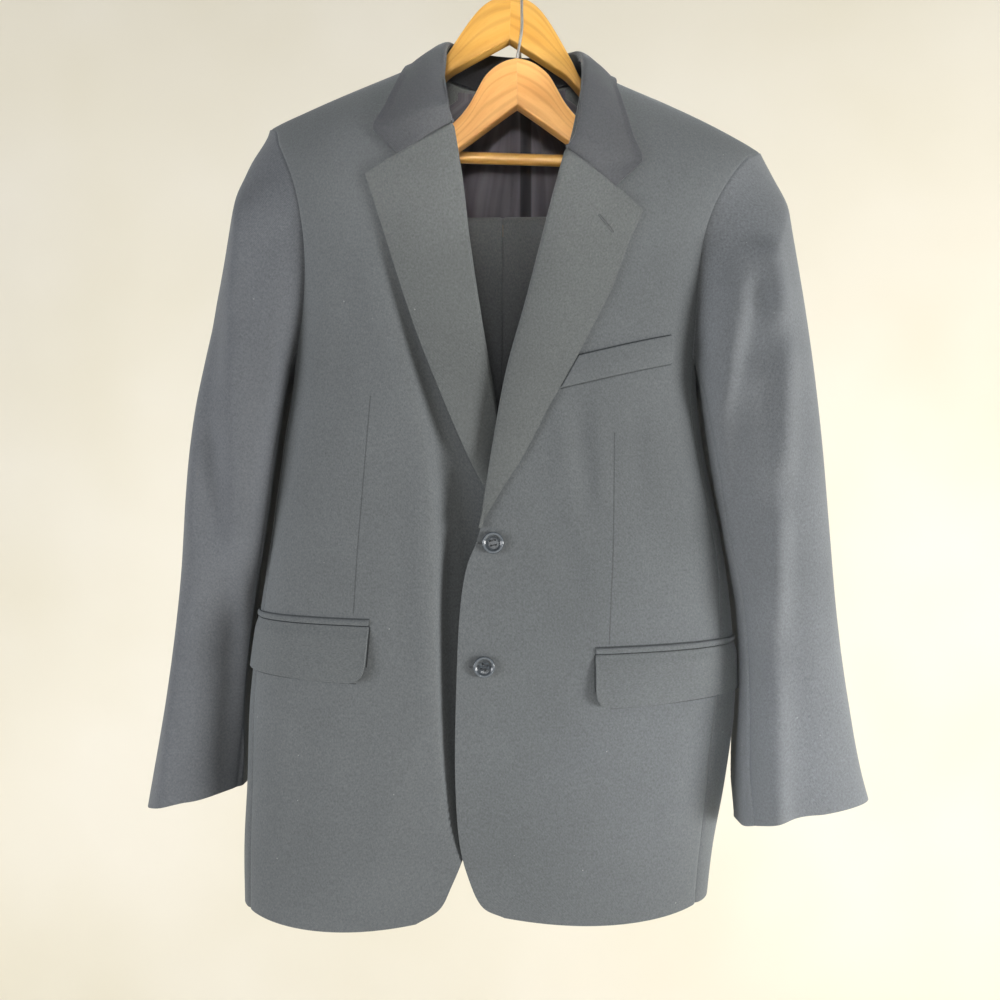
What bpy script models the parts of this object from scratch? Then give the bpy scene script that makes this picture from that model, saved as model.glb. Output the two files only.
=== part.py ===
"""Two-piece suit on its two wooden hangers.

Metres, +Z up. The origin is the inside top of the upper hanger's hook, where a rod holds it.
The front of the suit faces -Y, and +X is the wearer's left. "right" and "left" in names are the wearer's.
Each cloth piece is a wall on one shared form: the jacket's body is a rounded section for each
height, hung below a shoulder line, and the sleeves run from the armholes to the cuffs.
"""

import math

import bmesh
import bpy
import numpy as np
from mathutils import Matrix, Vector

# ---------------------------------------------------------------- driving sizes
SEAM_GAP = 0.0003
SLEEVE_GAP = 0.0006
JACKET_WALL = 0.0024
FACING_WALL = 0.0020
LINING_WALL = 0.0010
TROUSER_WALL = 0.0012
BODY_SQUARENESS = 3.0
SLEEVE_SQUARENESS, SLEEVE_INNER_SQUARENESS = 2.3, 3.3
BACK_REACH = 0.100
ARM_CLEARANCE = 0.0065
FRONT_BUTTON_DIAMETER = 0.019
CUFF_BUTTON_DIAMETER = 0.015
HANGER_THICKNESS = 0.014
BAR_DIAMETER = 0.011
HOOK_WIRE = 0.0036
RIGHT, LEFT = -1, 1
SIDE_NAMES = {RIGHT: "right", LEFT: "left"}


def table(columns, *rows):
    """Named columns of a short table, a row for each section."""
    return dict(zip(columns.split(), np.array(rows, float).T))


def read(rows, column, at):
    """A column at any place along the table's first column, on a cubic through its rows."""
    x, y = next(iter(rows.values())), rows[column]
    slope = np.gradient(y, x)
    at = np.clip(at, x[0], x[-1])
    i = np.clip(np.searchsorted(x, at) - 1, 0, len(x) - 2)
    step = x[i + 1] - x[i]
    s = (at - x[i]) / step
    start = (1 + 2 * s) * (1 - s) ** 2 * y[i] + s * (1 - s) ** 2 * step * slope[i]
    return start + s * s * (3 - 2 * s) * y[i + 1] + s * s * (s - 1) * step * slope[i + 1]


def ease(t):
    t = np.clip(t, 0, 1)
    return t * t * (3 - 2 * t)


# ---------------------------------------------------------------- the jacket's form
# drop is the distance below the hook's inside top. right and left are the body's widest
# places, front and back its depth each way from the shoulder seam's plane.
BODY = table(
    "drop right left front back",
    (0.090, -0.262, 0.262, 0.080, 0.050),
    (0.190, -0.256, 0.258, 0.084, 0.052),
    (0.250, -0.238, 0.232, 0.086, 0.054),
    (0.310, -0.217, 0.193, 0.087, 0.055),
    (0.370, -0.212, 0.181, 0.088, 0.055),
    (0.430, -0.212, 0.172, 0.088, 0.055),
    (0.500, -0.222, 0.178, 0.089, 0.054),
    (0.580, -0.233, 0.194, 0.090, 0.053),
    (0.660, -0.245, 0.205, 0.090, 0.052),
    (0.740, -0.2545, 0.209, 0.089, 0.051),
    (0.820, -0.2575, 0.1995, 0.087, 0.050),
    (0.880, -0.2605, 0.1885, 0.085, 0.049),
    (0.940, -0.2600, 0.1815, 0.083, 0.048),
)
# The line of the shoulder seams, and how far below it the front reaches its full depth.
SHOULDER = table(
    "x drop reach",
    (-0.262, 0.206, 0.100),
    (-0.240, 0.1945, 0.105),
    (-0.200, 0.1780, 0.110),
    (-0.160, 0.1615, 0.118),
    (-0.120, 0.1445, 0.140),
    (-0.082, 0.1275, 0.170),
    (0.000, 0.0950, 0.180),
    (0.072, 0.1385, 0.170),
    (0.100, 0.1520, 0.155),
    (0.140, 0.1700, 0.128),
    (0.180, 0.1885, 0.112),
    (0.2385, 0.2165, 0.105),
    (0.262, 0.228, 0.100),
)
# The fronts, section by section from the shoulder seam to the hem. edge is on the roll line
# and then the front edge; seam is on the armhole and then the side seam.
FRONT = {
    RIGHT: table(
        "section edge_x edge_drop seam_x seam_drop",
        (0, -0.0820, 0.1275, -0.2400, 0.1945),
        (1, -0.0705, 0.1560, -0.2227, 0.2231),
        (2, -0.0630, 0.1950, -0.2050, 0.2650),
        (3, -0.0560, 0.2350, -0.1975, 0.3050),
        (4, -0.0500, 0.2750, -0.1955, 0.3450),
        (5, -0.0440, 0.3250, -0.1985, 0.3830),
        (6, -0.0350, 0.3850, -0.2050, 0.4150),
        (7, -0.0240, 0.4500, -0.2120, 0.4700),
        (8, -0.0125, 0.5200, -0.2200, 0.5300),
        (9, -0.0005, 0.5850, -0.2275, 0.5900),
        (10, 0.0018, 0.6220, -0.2315, 0.6240),
        (11, 0.0018, 0.6600, -0.2360, 0.6600),
        (12, -0.0020, 0.7300, -0.2435, 0.7300),
        (13, -0.0145, 0.7950, -0.2450, 0.8000),
        (14, -0.0395, 0.8500, -0.2465, 0.8600),
        (15, -0.0573, 0.8920, -0.2472, 0.9000),
        (16, -0.0690, 0.9150, -0.2475, 0.9200),
        (17, -0.0900, 0.9285, -0.2475, 0.9320),
    ),
    LEFT: table(
        "section edge_x edge_drop seam_x seam_drop",
        (0, 0.0720, 0.1385, 0.2385, 0.2165),
        (1, 0.0625, 0.1600, 0.2200, 0.2300),
        (2, 0.0552, 0.1950, 0.1975, 0.2570),
        (3, 0.0480, 0.2280, 0.1790, 0.2895),
        (4, 0.0385, 0.2620, 0.1700, 0.3250),
        (5, 0.0255, 0.3120, 0.1665, 0.3720),
        (6, 0.0095, 0.3750, 0.1640, 0.4200),
        (7, -0.0085, 0.4400, 0.1615, 0.4750),
        (8, -0.0205, 0.5050, 0.1695, 0.5300),
        (9, -0.0327, 0.5780, 0.1830, 0.5950),
        (10, -0.0455, 0.6150, 0.1865, 0.6280),
        (11, -0.0515, 0.6600, 0.1860, 0.6600),
        (12, -0.0545, 0.7350, 0.1825, 0.7300),
        (13, -0.0550, 0.8000, 0.1745, 0.7950),
        (14, -0.0515, 0.8550, 0.1695, 0.8500),
        (15, -0.0425, 0.8900, 0.1660, 0.8900),
        (16, -0.0310, 0.9130, 0.1645, 0.9120),
        (17, -0.0120, 0.9225, 0.1640, 0.9245),
    ),
}
# The backs, by the same sections. The centre seam is shared by both.
BACK_SEAM = {
    RIGHT: table(
        "section x drop",
        (0, -0.2400, 0.1945),
        (1, -0.2290, 0.2250),
        (2, -0.2170, 0.2600),
        (3, -0.2080, 0.3000),
        (4, -0.2030, 0.3400),
        (5, -0.2010, 0.3760),
        (6, -0.2030, 0.4080),
        (8, -0.2170, 0.5250),
        (9, -0.2240, 0.5870),
        (11, -0.2340, 0.6600),
        (13, -0.2450, 0.8000),
        (15, -0.2490, 0.9000),
        (17, -0.2490, 0.9350),
    ),
    LEFT: table(
        "section x drop",
        (0, 0.2385, 0.2165),
        (1, 0.2250, 0.2400),
        (2, 0.2080, 0.2680),
        (3, 0.1900, 0.2990),
        (4, 0.1790, 0.3350),
        (5, 0.1710, 0.3760),
        (6, 0.1650, 0.4150),
        (8, 0.1700, 0.5250),
        (9, 0.1800, 0.5900),
        (11, 0.1900, 0.6600),
        (13, 0.1850, 0.8000),
        (15, 0.1750, 0.8950),
        (17, 0.1715, 0.9300),
    ),
}
CENTRE_BACK = table(
    "section x drop",
    (0, -0.003, 0.1365),
    (3, -0.008, 0.2500),
    (6, -0.014, 0.4000),
    (9, -0.018, 0.5850),
    (13, -0.024, 0.8000),
    (17, -0.030, 0.9215),
)
# The under front bends back along this line, to pass beneath the other one.
TUCK = table(
    "drop x depth width",
    (0.270, -0.1370, 0.0000, 0.022),
    (0.330, -0.1300, 0.0035, 0.022),
    (0.400, -0.1130, 0.0085, 0.022),
    (0.475, -0.0940, 0.0140, 0.022),
    (0.545, -0.0805, 0.0190, 0.021),
    (0.600, -0.0765, 0.0210, 0.018),
    (0.660, -0.0755, 0.0210, 0.016),
    (0.740, -0.0725, 0.0205, 0.015),
    (0.800, -0.0680, 0.0185, 0.014),
    (0.840, -0.0620, 0.0180, 0.013),
    (0.880, -0.0500, 0.0140, 0.014),
    (0.940, -0.0480, 0.0080, 0.020),
)
# Soft troughs (depth above 0) and ridges (below 0) of the body's front, from end to end.
BODY_FOLDS = table(
    "x drop end_x end_drop depth width",
    (-0.1420, 0.330, -0.1010, 0.475, -0.0024, 0.012),
    (-0.0880, 0.530, -0.0790, 0.740, -0.0024, 0.012),
    (0.0035, 0.505, 0.0595, 0.645, 0.0024, 0.013),
    (0.0341, 0.470, 0.0446, 0.536, -0.0016, 0.008),
    (0.0520, 0.466, 0.0640, 0.570, 0.0017, 0.008),
    (0.0700, 0.462, 0.0752, 0.554, -0.0016, 0.008),
    (0.1050, 0.466, 0.1110, 0.571, 0.0017, 0.010),
    (-0.1500, 0.360, -0.1650, 0.480, 0.0018, 0.016),
    (-0.0218, 0.710, 0.0595, 0.781, 0.0024, 0.020),
    (0.0200, 0.800, 0.1100, 0.880, -0.0022, 0.022),
    (-0.1100, 0.760, -0.1200, 0.900, -0.0020, 0.022),
    (-0.1850, 0.700, -0.2000, 0.900, 0.0018, 0.018),
    (0.1400, 0.760, 0.1450, 0.900, -0.0020, 0.018),
)
# The same on the back, seen from behind: it hangs in long soft folds from the shoulder blades.
BACK_FOLDS = table(
    "x drop end_x end_drop depth width",
    (-0.1600, 0.260, -0.1400, 0.470, -0.0030, 0.022),
    (-0.1050, 0.330, -0.1150, 0.560, 0.0026, 0.018),
    (-0.0650, 0.480, -0.0800, 0.860, -0.0028, 0.024),
    (-0.1650, 0.560, -0.1800, 0.900, 0.0026, 0.020),
    (-0.0250, 0.200, -0.0150, 0.330, 0.0020, 0.018),
    (0.1350, 0.270, 0.1200, 0.450, -0.0028, 0.020),
    (0.0850, 0.360, 0.0900, 0.620, 0.0026, 0.018),
    (0.0450, 0.500, 0.0550, 0.880, -0.0028, 0.024),
    (0.1250, 0.580, 0.1300, 0.880, 0.0024, 0.018),
)


def side_share(x, drop):
    """0 on the body's middle line, 1 at its widest."""
    right, left = read(BODY, "right", drop), read(BODY, "left", drop)
    return np.clip(np.abs((x - (left + right) / 2) / ((left - right) / 2)), 0, 1)


def rise(x, drop, reach):
    """0 on the shoulder line, 1 from reach below it, on a quarter of an ellipse."""
    below = np.clip(drop - read(SHOULDER, "drop", x), 0, reach)
    return np.sqrt(np.clip(1 - (1 - below / reach) ** 2, 0, 1))


def roundness(x, drop):
    return (1 - side_share(x, drop) ** BODY_SQUARENESS) ** (1 / BODY_SQUARENESS)


def fold_relief(folds, x, drop):
    """How far the folds push the cloth in, each a soft trough or ridge that fades at its ends."""
    relief = np.zeros(np.broadcast(x, drop).shape)
    for x0, d0, x1, d1, depth, width in zip(*folds.values()):
        length = math.hypot(x1 - x0, d1 - d0)
        along = ((x - x0) * (x1 - x0) + (drop - d0) * (d1 - d0)) / length**2
        across = ((x - x0) * (d1 - d0) - (drop - d0) * (x1 - x0)) / length
        ends = ease((along + 0.15) / 0.4) * ease((1.15 - along) / 0.4)
        relief = relief + depth * ends * np.exp(-((across / width) ** 2))
    return relief


def tuck_depth(x, drop):
    """How far the under front has bent back, to pass beneath the other one."""
    return read(TUCK, "depth", drop) * ease((x - read(TUCK, "x", drop)) / read(TUCK, "width", drop))


def front_y(x, drop, side):
    """The outer face of the jacket's front."""
    full = rise(x, drop, read(SHOULDER, "reach", x)) * roundness(x, drop)
    y = -read(BODY, "front", drop) * full + fold_relief(BODY_FOLDS, x, drop) * full
    return y + tuck_depth(x, drop) if side == RIGHT else y


def back_y(x, drop):
    """The outer face of the jacket's back."""
    full = rise(x, drop, BACK_REACH) * roundness(x, drop)
    return (read(BODY, "back", drop) - fold_relief(BACK_FOLDS, x, drop)) * full


def outline_x(y, drop, side):
    """The body's width at a depth, below the armholes."""
    right, left = read(BODY, "right", drop), read(BODY, "left", drop)
    depth = np.where(y < 0, read(BODY, "front", drop), read(BODY, "back", drop))
    share = np.clip(np.abs(y) / depth, 0, 1)
    half = (left - right) / 2 * (1 - share**BODY_SQUARENESS) ** (1 / BODY_SQUARENESS)
    return (left + right) / 2 + side * half


def section_point(x, drop, side, front):
    """The turn round the body's side, as an angle from its widest place."""
    share = np.clip(side_share(x, drop), 0, 1)
    angle = math.acos(min(1.0, float(share) ** (BODY_SQUARENESS / 2)))
    return angle if front else -angle


def around(side, angle, drop):
    """A point of the body's outer face below the armholes, by its angle round the side."""
    right, left = read(BODY, "right", drop), read(BODY, "left", drop)
    cosine = np.abs(np.cos(angle)) ** (2 / BODY_SQUARENESS)
    sine = np.abs(np.sin(angle)) ** (2 / BODY_SQUARENESS)
    depth = np.where(angle > 0, -read(BODY, "front", drop), read(BODY, "back", drop))
    x = (left + right) / 2 + side * (left - right) / 2 * cosine
    relief = np.where(angle > 0, fold_relief(BODY_FOLDS, x, drop), -fold_relief(BACK_FOLDS, x, drop)) * sine
    return np.stack([x, depth * sine + relief, -drop + 0 * x], -1)


# ---------------------------------------------------------------- the panels' grids
SHOULDER_ROWS = (0, 0.06, 0.22, 0.5, 0.95, 1.7, 2.6, 3.6, 4.8, 6)
LOWER_ROWS = (7, 8, 9, 10, 11, 12, 13, 14, 14.7, 15.4, 16, 16.5, 17)
ROWS = np.array(SHOULDER_ROWS + LOWER_ROWS, float)
ARMHOLE_ROW = len(SHOULDER_ROWS) - 1
FRONT_COLUMNS = np.array((0, 0.05, 0.12, 0.20, 0.29, 0.39, 0.50, 0.62, 0.75, 0.88, 1))
NECK_COLUMNS = 3
SIDE_COLUMNS = 4
HEM_BOW = 0.008
LEAST_FALL = 0.024
SHARED_NORMAL_LEAST = 0.1
KEY_STEP = 1e-6
UNDERARM_BOW = 0.020
SEAM_INSET = SEAM_GAP / 2 + 0.00005


def front_grid(side, rows=ROWS, columns=FRONT_COLUMNS):
    """A front from its roll line and edge (first column) to the armhole and side seam (last)."""
    v, u = np.meshgrid(rows, columns, indexing="ij")
    edge_x, edge_drop, seam_x, seam_drop = (read(FRONT[side], c, v) for c in list(FRONT[side])[1:])
    x = edge_x + (seam_x - edge_x) * u
    drop = edge_drop + (seam_drop - edge_drop) * u
    drop = drop + HEM_BOW * 4 * u * (1 - u) * ease((v - 12) / 5)
    drop = drop + (read(SHOULDER, "drop", x) - drop) * np.clip(1 - v, 0, 1)
    drop = np.maximum(drop, read(SHOULDER, "drop", x) + LEAST_FALL * np.minimum(v, 1))
    y = front_y(x, drop, side)
    return np.stack([np.broadcast_to(x, y.shape), y, -drop], -1)


def neck_drop(x, neck_x, neck_point_drop):
    """The back neck seam, from a shoulder's neck point to the centre back."""
    centre_x, centre = CENTRE_BACK["x"][0], CENTRE_BACK["drop"][0]
    return centre + (neck_point_drop - centre) * np.abs((x - centre_x) / (neck_x - centre_x)) ** 3


def back_grid(side, rows=ROWS, shoulder_columns=FRONT_COLUMNS, neck_columns=NECK_COLUMNS):
    """A back from the armhole and side seam (first column) to the centre seam (last)."""
    front = FRONT[side]
    neck_x, tip_x = front["edge_x"][0], front["seam_x"][0]
    centre_x = CENTRE_BACK["x"][0]
    top_x = tip_x + (neck_x - tip_x) * (1 - shoulder_columns[::-1])
    top_x = np.append(top_x, neck_x + (centre_x - neck_x) * np.linspace(0, 1, neck_columns + 1)[1:])
    share = (top_x - tip_x) / (centre_x - tip_x)
    past_neck = (top_x - neck_x) * side < -1e-9
    top = np.where(
        past_neck, neck_drop(top_x, neck_x, front["edge_drop"][0]), read(SHOULDER, "drop", top_x)
    )
    v, u = np.meshgrid(rows, share, indexing="ij")
    seam_x, seam_drop = (read(BACK_SEAM[side], c, v) for c in ("x", "drop"))
    middle_x, middle_drop = (read(CENTRE_BACK, c, v) for c in ("x", "drop"))
    x = seam_x + (middle_x - seam_x) * u
    drop = seam_drop + (middle_drop - seam_drop) * u
    lift = top - (seam_drop[0] + (middle_drop[0] - seam_drop[0]) * share)
    drop = drop + lift * np.clip(1 - v / 5, 0, 1) ** 2
    return np.stack([x, back_y(x, drop), -drop], -1)


def side_grid(side, rows, columns=SIDE_COLUMNS):
    """A side panel from the front's seam (first column) to the back's (last)."""
    points = np.empty((len(rows), columns + 1, 3))
    for i, v in enumerate(rows):
        front_x, front_drop = (float(read(FRONT[side], c, v)) for c in ("seam_x", "seam_drop"))
        back_x, back_drop = (float(read(BACK_SEAM[side], c, v)) for c in ("x", "drop"))
        start = section_point(front_x, front_drop, side, True)
        end = section_point(back_x, back_drop, side, False)
        for j, u in enumerate(np.linspace(0, 1, columns + 1)):
            drop = front_drop + (back_drop - front_drop) * u
            drop += UNDERARM_BOW * 4 * u * (1 - u) * float(np.clip(1 - (v - 6) / 3, 0, 1)) ** 2
            points[i, j] = around(side, start + (end - start) * u, drop)
    points[:, 0] = front_grid(side, rows, np.array([1.0]))[:, 0]
    points[:, -1] = back_grid(side, rows, np.array([0.0, 1.0]))[:, 0]
    return points


# ---------------------------------------------------------------- sleeves
# By distance below the hook: outer and inner edges seen from the front, the middle's place
# from the shoulder plane, and half the depth from front to back.
SLEEVE = {
    RIGHT: table(
        "drop outer inner middle half_depth",
        (0.200, -0.2500, -0.1964, 0.000, 0.045),
        (0.220, -0.2600, -0.1964, 0.000, 0.050),
        (0.250, -0.2640, -0.1964, 0.000, 0.057),
        (0.300, -0.2725, -0.1964, 0.000, 0.064),
        (0.360, -0.2835, -0.1975, -0.001, 0.068),
        (0.430, -0.2975, -0.2083, -0.002, 0.069),
        (0.500, -0.3084, -0.2190, -0.004, 0.066),
        (0.580, -0.3165, -0.2298, -0.003, 0.060),
        (0.660, -0.3245, -0.2434, 0.002, 0.053),
        (0.740, -0.3377, -0.2536, 0.006, 0.049),
        (0.800, -0.3493, -0.2612, 0.006, 0.046),
        (0.850, -0.3579, -0.2654, 0.004, 0.044),
    ),
    LEFT: table(
        "drop outer inner middle half_depth",
        (0.200, 0.2440, 0.1702, 0.000, 0.043),
        (0.220, 0.2530, 0.1702, 0.000, 0.045),
        (0.250, 0.2575, 0.1702, 0.000, 0.055),
        (0.300, 0.2608, 0.1684, -0.008, 0.064),
        (0.360, 0.2687, 0.1661, -0.013, 0.068),
        (0.430, 0.2782, 0.1663, -0.016, 0.069),
        (0.500, 0.2858, 0.1740, -0.018, 0.067),
        (0.580, 0.2922, 0.1869, -0.020, 0.063),
        (0.660, 0.2982, 0.2026, -0.023, 0.059),
        (0.740, 0.3075, 0.2045, -0.030, 0.054),
        (0.800, 0.3160, 0.2030, -0.039, 0.050),
        (0.850, 0.3280, 0.2050, -0.046, 0.047),
    ),
}
# The cuff's edge: its middle's drop, and how much lower its inner and its front sides are.
CUFF = {RIGHT: (0.8406, -0.0104, -0.004), LEFT: (0.8400, 0.0115, -0.011)}
SLEEVE_ROWS = (0, 0.02, 0.05, 0.09, 0.14, 0.20, 0.27, 0.35, 0.43, 0.51, 0.59, 0.67, 0.75, 0.84, 0.92, 1)
CAP_SHARE = 0.10
UNDERARM_GAP = 0.0005
# The seams run down the ring at these steps from the shoulder tip, towards the front.
FRONT_SEAM_STEP = 9
BACK_SEAM_STEP = 16
# Troughs and ridges of the sleeves' fronts, as on the body.
SLEEVE_FOLDS = {
    RIGHT: table(
        "x drop end_x end_drop depth width",
        (-0.2600, 0.262, -0.2560, 0.385, -0.0060, 0.012),
        (-0.2740, 0.380, -0.2790, 0.470, 0.0070, 0.012),
        (-0.2520, 0.400, -0.2520, 0.560, -0.0045, 0.012),
        (-0.2790, 0.470, -0.2740, 0.600, 0.0090, 0.014),
        (-0.2680, 0.620, -0.2780, 0.860, 0.0170, 0.022),
        (-0.3000, 0.430, -0.3060, 0.600, -0.0040, 0.012),
        (-0.3160, 0.610, -0.3350, 0.860, -0.0060, 0.012),
    ),
    LEFT: table(
        "x drop end_x end_drop depth width",
        (0.2290, 0.262, 0.2260, 0.315, -0.0040, 0.010),
        (0.2250, 0.318, 0.2360, 0.400, -0.0080, 0.012),
        (0.2380, 0.410, 0.2310, 0.545, -0.0092, 0.012),
        (0.2300, 0.550, 0.2270, 0.680, -0.0096, 0.012),
        (0.2260, 0.690, 0.2250, 0.860, -0.0100, 0.013),
        (0.2180, 0.345, 0.1980, 0.450, 0.0048, 0.013),
        (0.1950, 0.460, 0.1980, 0.600, 0.0060, 0.012),
        (0.2020, 0.630, 0.2060, 0.850, 0.0080, 0.010),
        (0.2030, 0.365, 0.1800, 0.480, -0.0040, 0.009),
    ),
}
# The same on the sleeves' backs.
SLEEVE_BACK_FOLDS = {
    RIGHT: table(
        "x drop end_x end_drop depth width",
        (-0.2500, 0.280, -0.2640, 0.420, -0.0035, 0.012),
        (-0.2620, 0.430, -0.2850, 0.560, 0.0045, 0.011),
        (-0.2880, 0.560, -0.2820, 0.740, -0.0035, 0.013),
        (-0.2600, 0.620, -0.2700, 0.800, 0.0030, 0.012),
    ),
    LEFT: table(
        "x drop end_x end_drop depth width",
        (0.2300, 0.290, 0.2430, 0.400, 0.0032, 0.012),
        (0.2400, 0.420, 0.2600, 0.540, -0.0042, 0.012),
        (0.2300, 0.520, 0.2450, 0.680, 0.0045, 0.012),
        (0.2650, 0.660, 0.2700, 0.820, -0.0032, 0.013),
    ),
}


def armhole_ring(front, side_panel, back):
    """The armhole's points from the shoulder tip, down the front, under the arm and up the back."""
    down = front[: ARMHOLE_ROW + 1, -1]
    under = side_panel[0, 1:-1]
    up = back[: ARMHOLE_ROW + 1, 0][::-1][:-1]
    return np.concatenate([down, under, up])


def sleeve_grid(side, ring, rows=SLEEVE_ROWS):
    """A sleeve from the armhole's ring (first row) to the cuff, a closed ring in each row."""
    steps = np.linalg.norm(np.roll(ring, -1, 0) - ring, axis=1)
    at_armhole = 2 * np.pi * np.concatenate([[0], np.cumsum(steps)[:-1]]) / steps.sum()
    even = 2 * np.pi * np.arange(len(ring)) / len(ring)
    middle_drop, inner_more, front_more = CUFF[side]
    points = np.empty((len(rows), len(ring), 3))
    for i, s in enumerate(rows):
        turn = at_armhole + (even - at_armhole) * ease(s / 0.3)
        cuff = middle_drop - inner_more * np.cos(turn) + front_more * np.sin(turn)
        drop = -ring[:, 2] * (1 - s) + cuff * s
        outer, inner, middle, depth = (read(SLEEVE[side], c, drop) for c in list(SLEEVE[side])[1:])
        cosine, sine = np.cos(turn), np.sin(turn)
        power = 2 / np.where(cosine > 0, SLEEVE_SQUARENESS, SLEEVE_INNER_SQUARENESS)
        x = (outer + inner) / 2 + (outer - inner) / 2 * np.sign(cosine) * np.abs(cosine) ** power
        y = middle - depth * np.sign(sine) * np.abs(sine) ** power
        y = y + fold_relief(SLEEVE_FOLDS[side], x, drop) * ease(sine * 1.6)
        y = y - fold_relief(SLEEVE_BACK_FOLDS[side], x, drop) * ease(-sine * 1.6)
        share = 1 - (1 - min(1.0, s / CAP_SHARE)) ** 2
        x = ring[:, 0] + (x - ring[:, 0]) * share
        y = ring[:, 1] + (y - ring[:, 1]) * share
        gap = ARM_CLEARANCE * min(1.0, s / 0.05)
        nearest = outline_x(y, drop, side) + side * gap
        pushed = np.where((x - nearest) * side < 0, nearest, x)
        x = x + (pushed - x) * ease((drop - 0.385) / 0.03)
        points[i] = np.stack([x, y, -drop], -1)
    points[0] = ring
    under = slice(ARMHOLE_ROW + 1, ARMHOLE_ROW + SIDE_COLUMNS)
    points[0, under, 0] += side * UNDERARM_GAP
    return points


# ---------------------------------------------------------------- meshes from grids
def linear(value):
    return value / 12.92 if value <= 0.04045 else ((value + 0.055) / 1.055) ** 2.4


def material(name, colour, roughness, metallic=0.0):
    made = bpy.data.materials.new(name)
    made.use_nodes = True
    shader = made.node_tree.nodes["Principled BSDF"]
    rgb = [linear(int(colour[i : i + 2], 16) / 255) for i in (1, 3, 5)]
    shader.inputs["Base Color"].default_value = (*rgb, 1)
    shader.inputs["Roughness"].default_value = roughness
    shader.inputs["Metallic"].default_value = metallic
    return made


def add_object(name, mesh, finish):
    mesh.shade_smooth()
    mesh.set_sharp_from_angle(angle=math.radians(40))
    obj = bpy.data.objects.new(name, mesh)
    mesh.materials.append(MATERIALS[finish])
    bpy.context.scene.collection.objects.link(obj)
    return obj


def mesh_of(name, vertices, faces):
    mesh = bpy.data.meshes.new(name)
    mesh.from_pydata([tuple(p) for p in vertices], [], faces)
    shape = bmesh.new()
    shape.from_mesh(mesh)
    bmesh.ops.recalc_face_normals(shape, faces=shape.faces)
    if shape.calc_volume(signed=True) < 0:
        bmesh.ops.reverse_faces(shape, faces=shape.faces)
    shape.to_mesh(mesh)
    shape.free()
    return mesh


def wall(name, outer, inner, finish):
    """A closed wall between two grids of the same size, with a rim along its four sides."""
    rows, columns = outer.shape[:2]
    count = rows * columns

    def at(i, j, layer):
        return layer * count + i * columns + j

    faces = []
    for i in range(rows - 1):
        for j in range(columns - 1):
            for layer in (0, 1):
                quad = [at(i, j, layer), at(i + 1, j, layer), at(i + 1, j + 1, layer), at(i, j + 1, layer)]
                faces.append(quad if layer == 0 else quad[::-1])
    around_edge = [(i, 0) for i in range(rows)] + [(rows - 1, j) for j in range(1, columns)]
    around_edge += [(i, columns - 1) for i in range(rows - 2, -1, -1)]
    around_edge += [(0, j) for j in range(columns - 2, 0, -1)]
    for ends in zip(around_edge, around_edge[1:] + around_edge[:1]):
        # The same diagonal on both sides of a seam, so that twisted rims keep their gap.
        first, last = sorted(ends)
        faces.append([at(*first, 0), at(*first, 1), at(*last, 1)])
        faces.append([at(*first, 0), at(*last, 1), at(*last, 0)])
    vertices = np.concatenate([outer.reshape(-1, 3), inner.reshape(-1, 3)])
    return add_object(name, mesh_of(name, vertices, faces), finish)


def ring_wall(name, outer, inner, finish):
    """A closed wall between two grids whose rows are closed rings."""
    rows, columns = outer.shape[:2]
    count = rows * columns
    faces = []
    for j in range(columns):
        k = (j + 1) % columns
        for i in range(rows - 1):
            low, high = i * columns, (i + 1) * columns
            faces.append([low + j, low + k, high + k, high + j])
            faces.append([count + low + j, count + high + j, count + high + k, count + low + k])
        last = (rows - 1) * columns
        faces.append([j, count + j, count + k, k])
        faces.append([last + j, last + k, count + last + k, count + last + j])
    vertices = np.concatenate([outer.reshape(-1, 3), inner.reshape(-1, 3)])
    return add_object(name, mesh_of(name, vertices, faces), finish)


def normals(grid, away_from):
    """Unit normals of a grid, pointing away from a point or a row of points."""
    down = np.gradient(grid, axis=0)
    across = np.gradient(grid, axis=1)
    found = np.cross(down, across)
    found /= np.linalg.norm(found, axis=-1, keepdims=True) + 1e-12
    return found * np.sign(np.sum(found * (grid - away_from)))


def unit(vectors):
    return vectors / (np.linalg.norm(vectors, axis=-1, keepdims=True) + 1e-12)


def seam_keys(grid):
    """A key for each point, the same for points that a seam shares."""
    return [tuple(place) for place in np.round(grid.reshape(-1, 3) / KEY_STEP + 0.237)]


def shared_normals(grids, away):
    """Normals for several grids, each seam's points taking the mean of the pieces that meet there.

    Where a sleeve turns back against the body, as under the arm, each keeps its own mean.
    """
    found = {name: normals(grid, away[name]) for name, grid in grids.items()}
    sums = {}
    for name, grid in grids.items():
        group = "sleeve" in name
        for key, n in zip(seam_keys(grid), found[name].reshape(-1, 3)):
            both = sums.setdefault(key, np.zeros((2, 3)))
            both[int(group)] += n
    for name, grid in grids.items():
        both = unit(np.array([sums[key] for key in seam_keys(grid)]))
        own, other = both[:, int("sleeve" in name)], both[:, 1 - int("sleeve" in name)]
        agrees = np.sum(own * other, -1, keepdims=True) > SHARED_NORMAL_LEAST
        found[name] = unit(np.where(agrees, own + other, own)).reshape(grid.shape)
    return found


def inset(grid, gap=SEAM_INSET):
    """The same grid with its four edges drawn in, which leaves the seam's gap."""
    drawn = grid.copy()
    for axis in (0, 1):
        for edge, next_in in ((0, 1), (-1, -2)):
            line = np.take(grid, edge, axis)
            towards = np.take(grid, next_in, axis) - line
            towards /= np.linalg.norm(towards, axis=-1, keepdims=True)
            index = [slice(None)] * 2
            index[axis] = edge
            drawn[tuple(index)] += towards * gap
    return drawn


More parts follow.
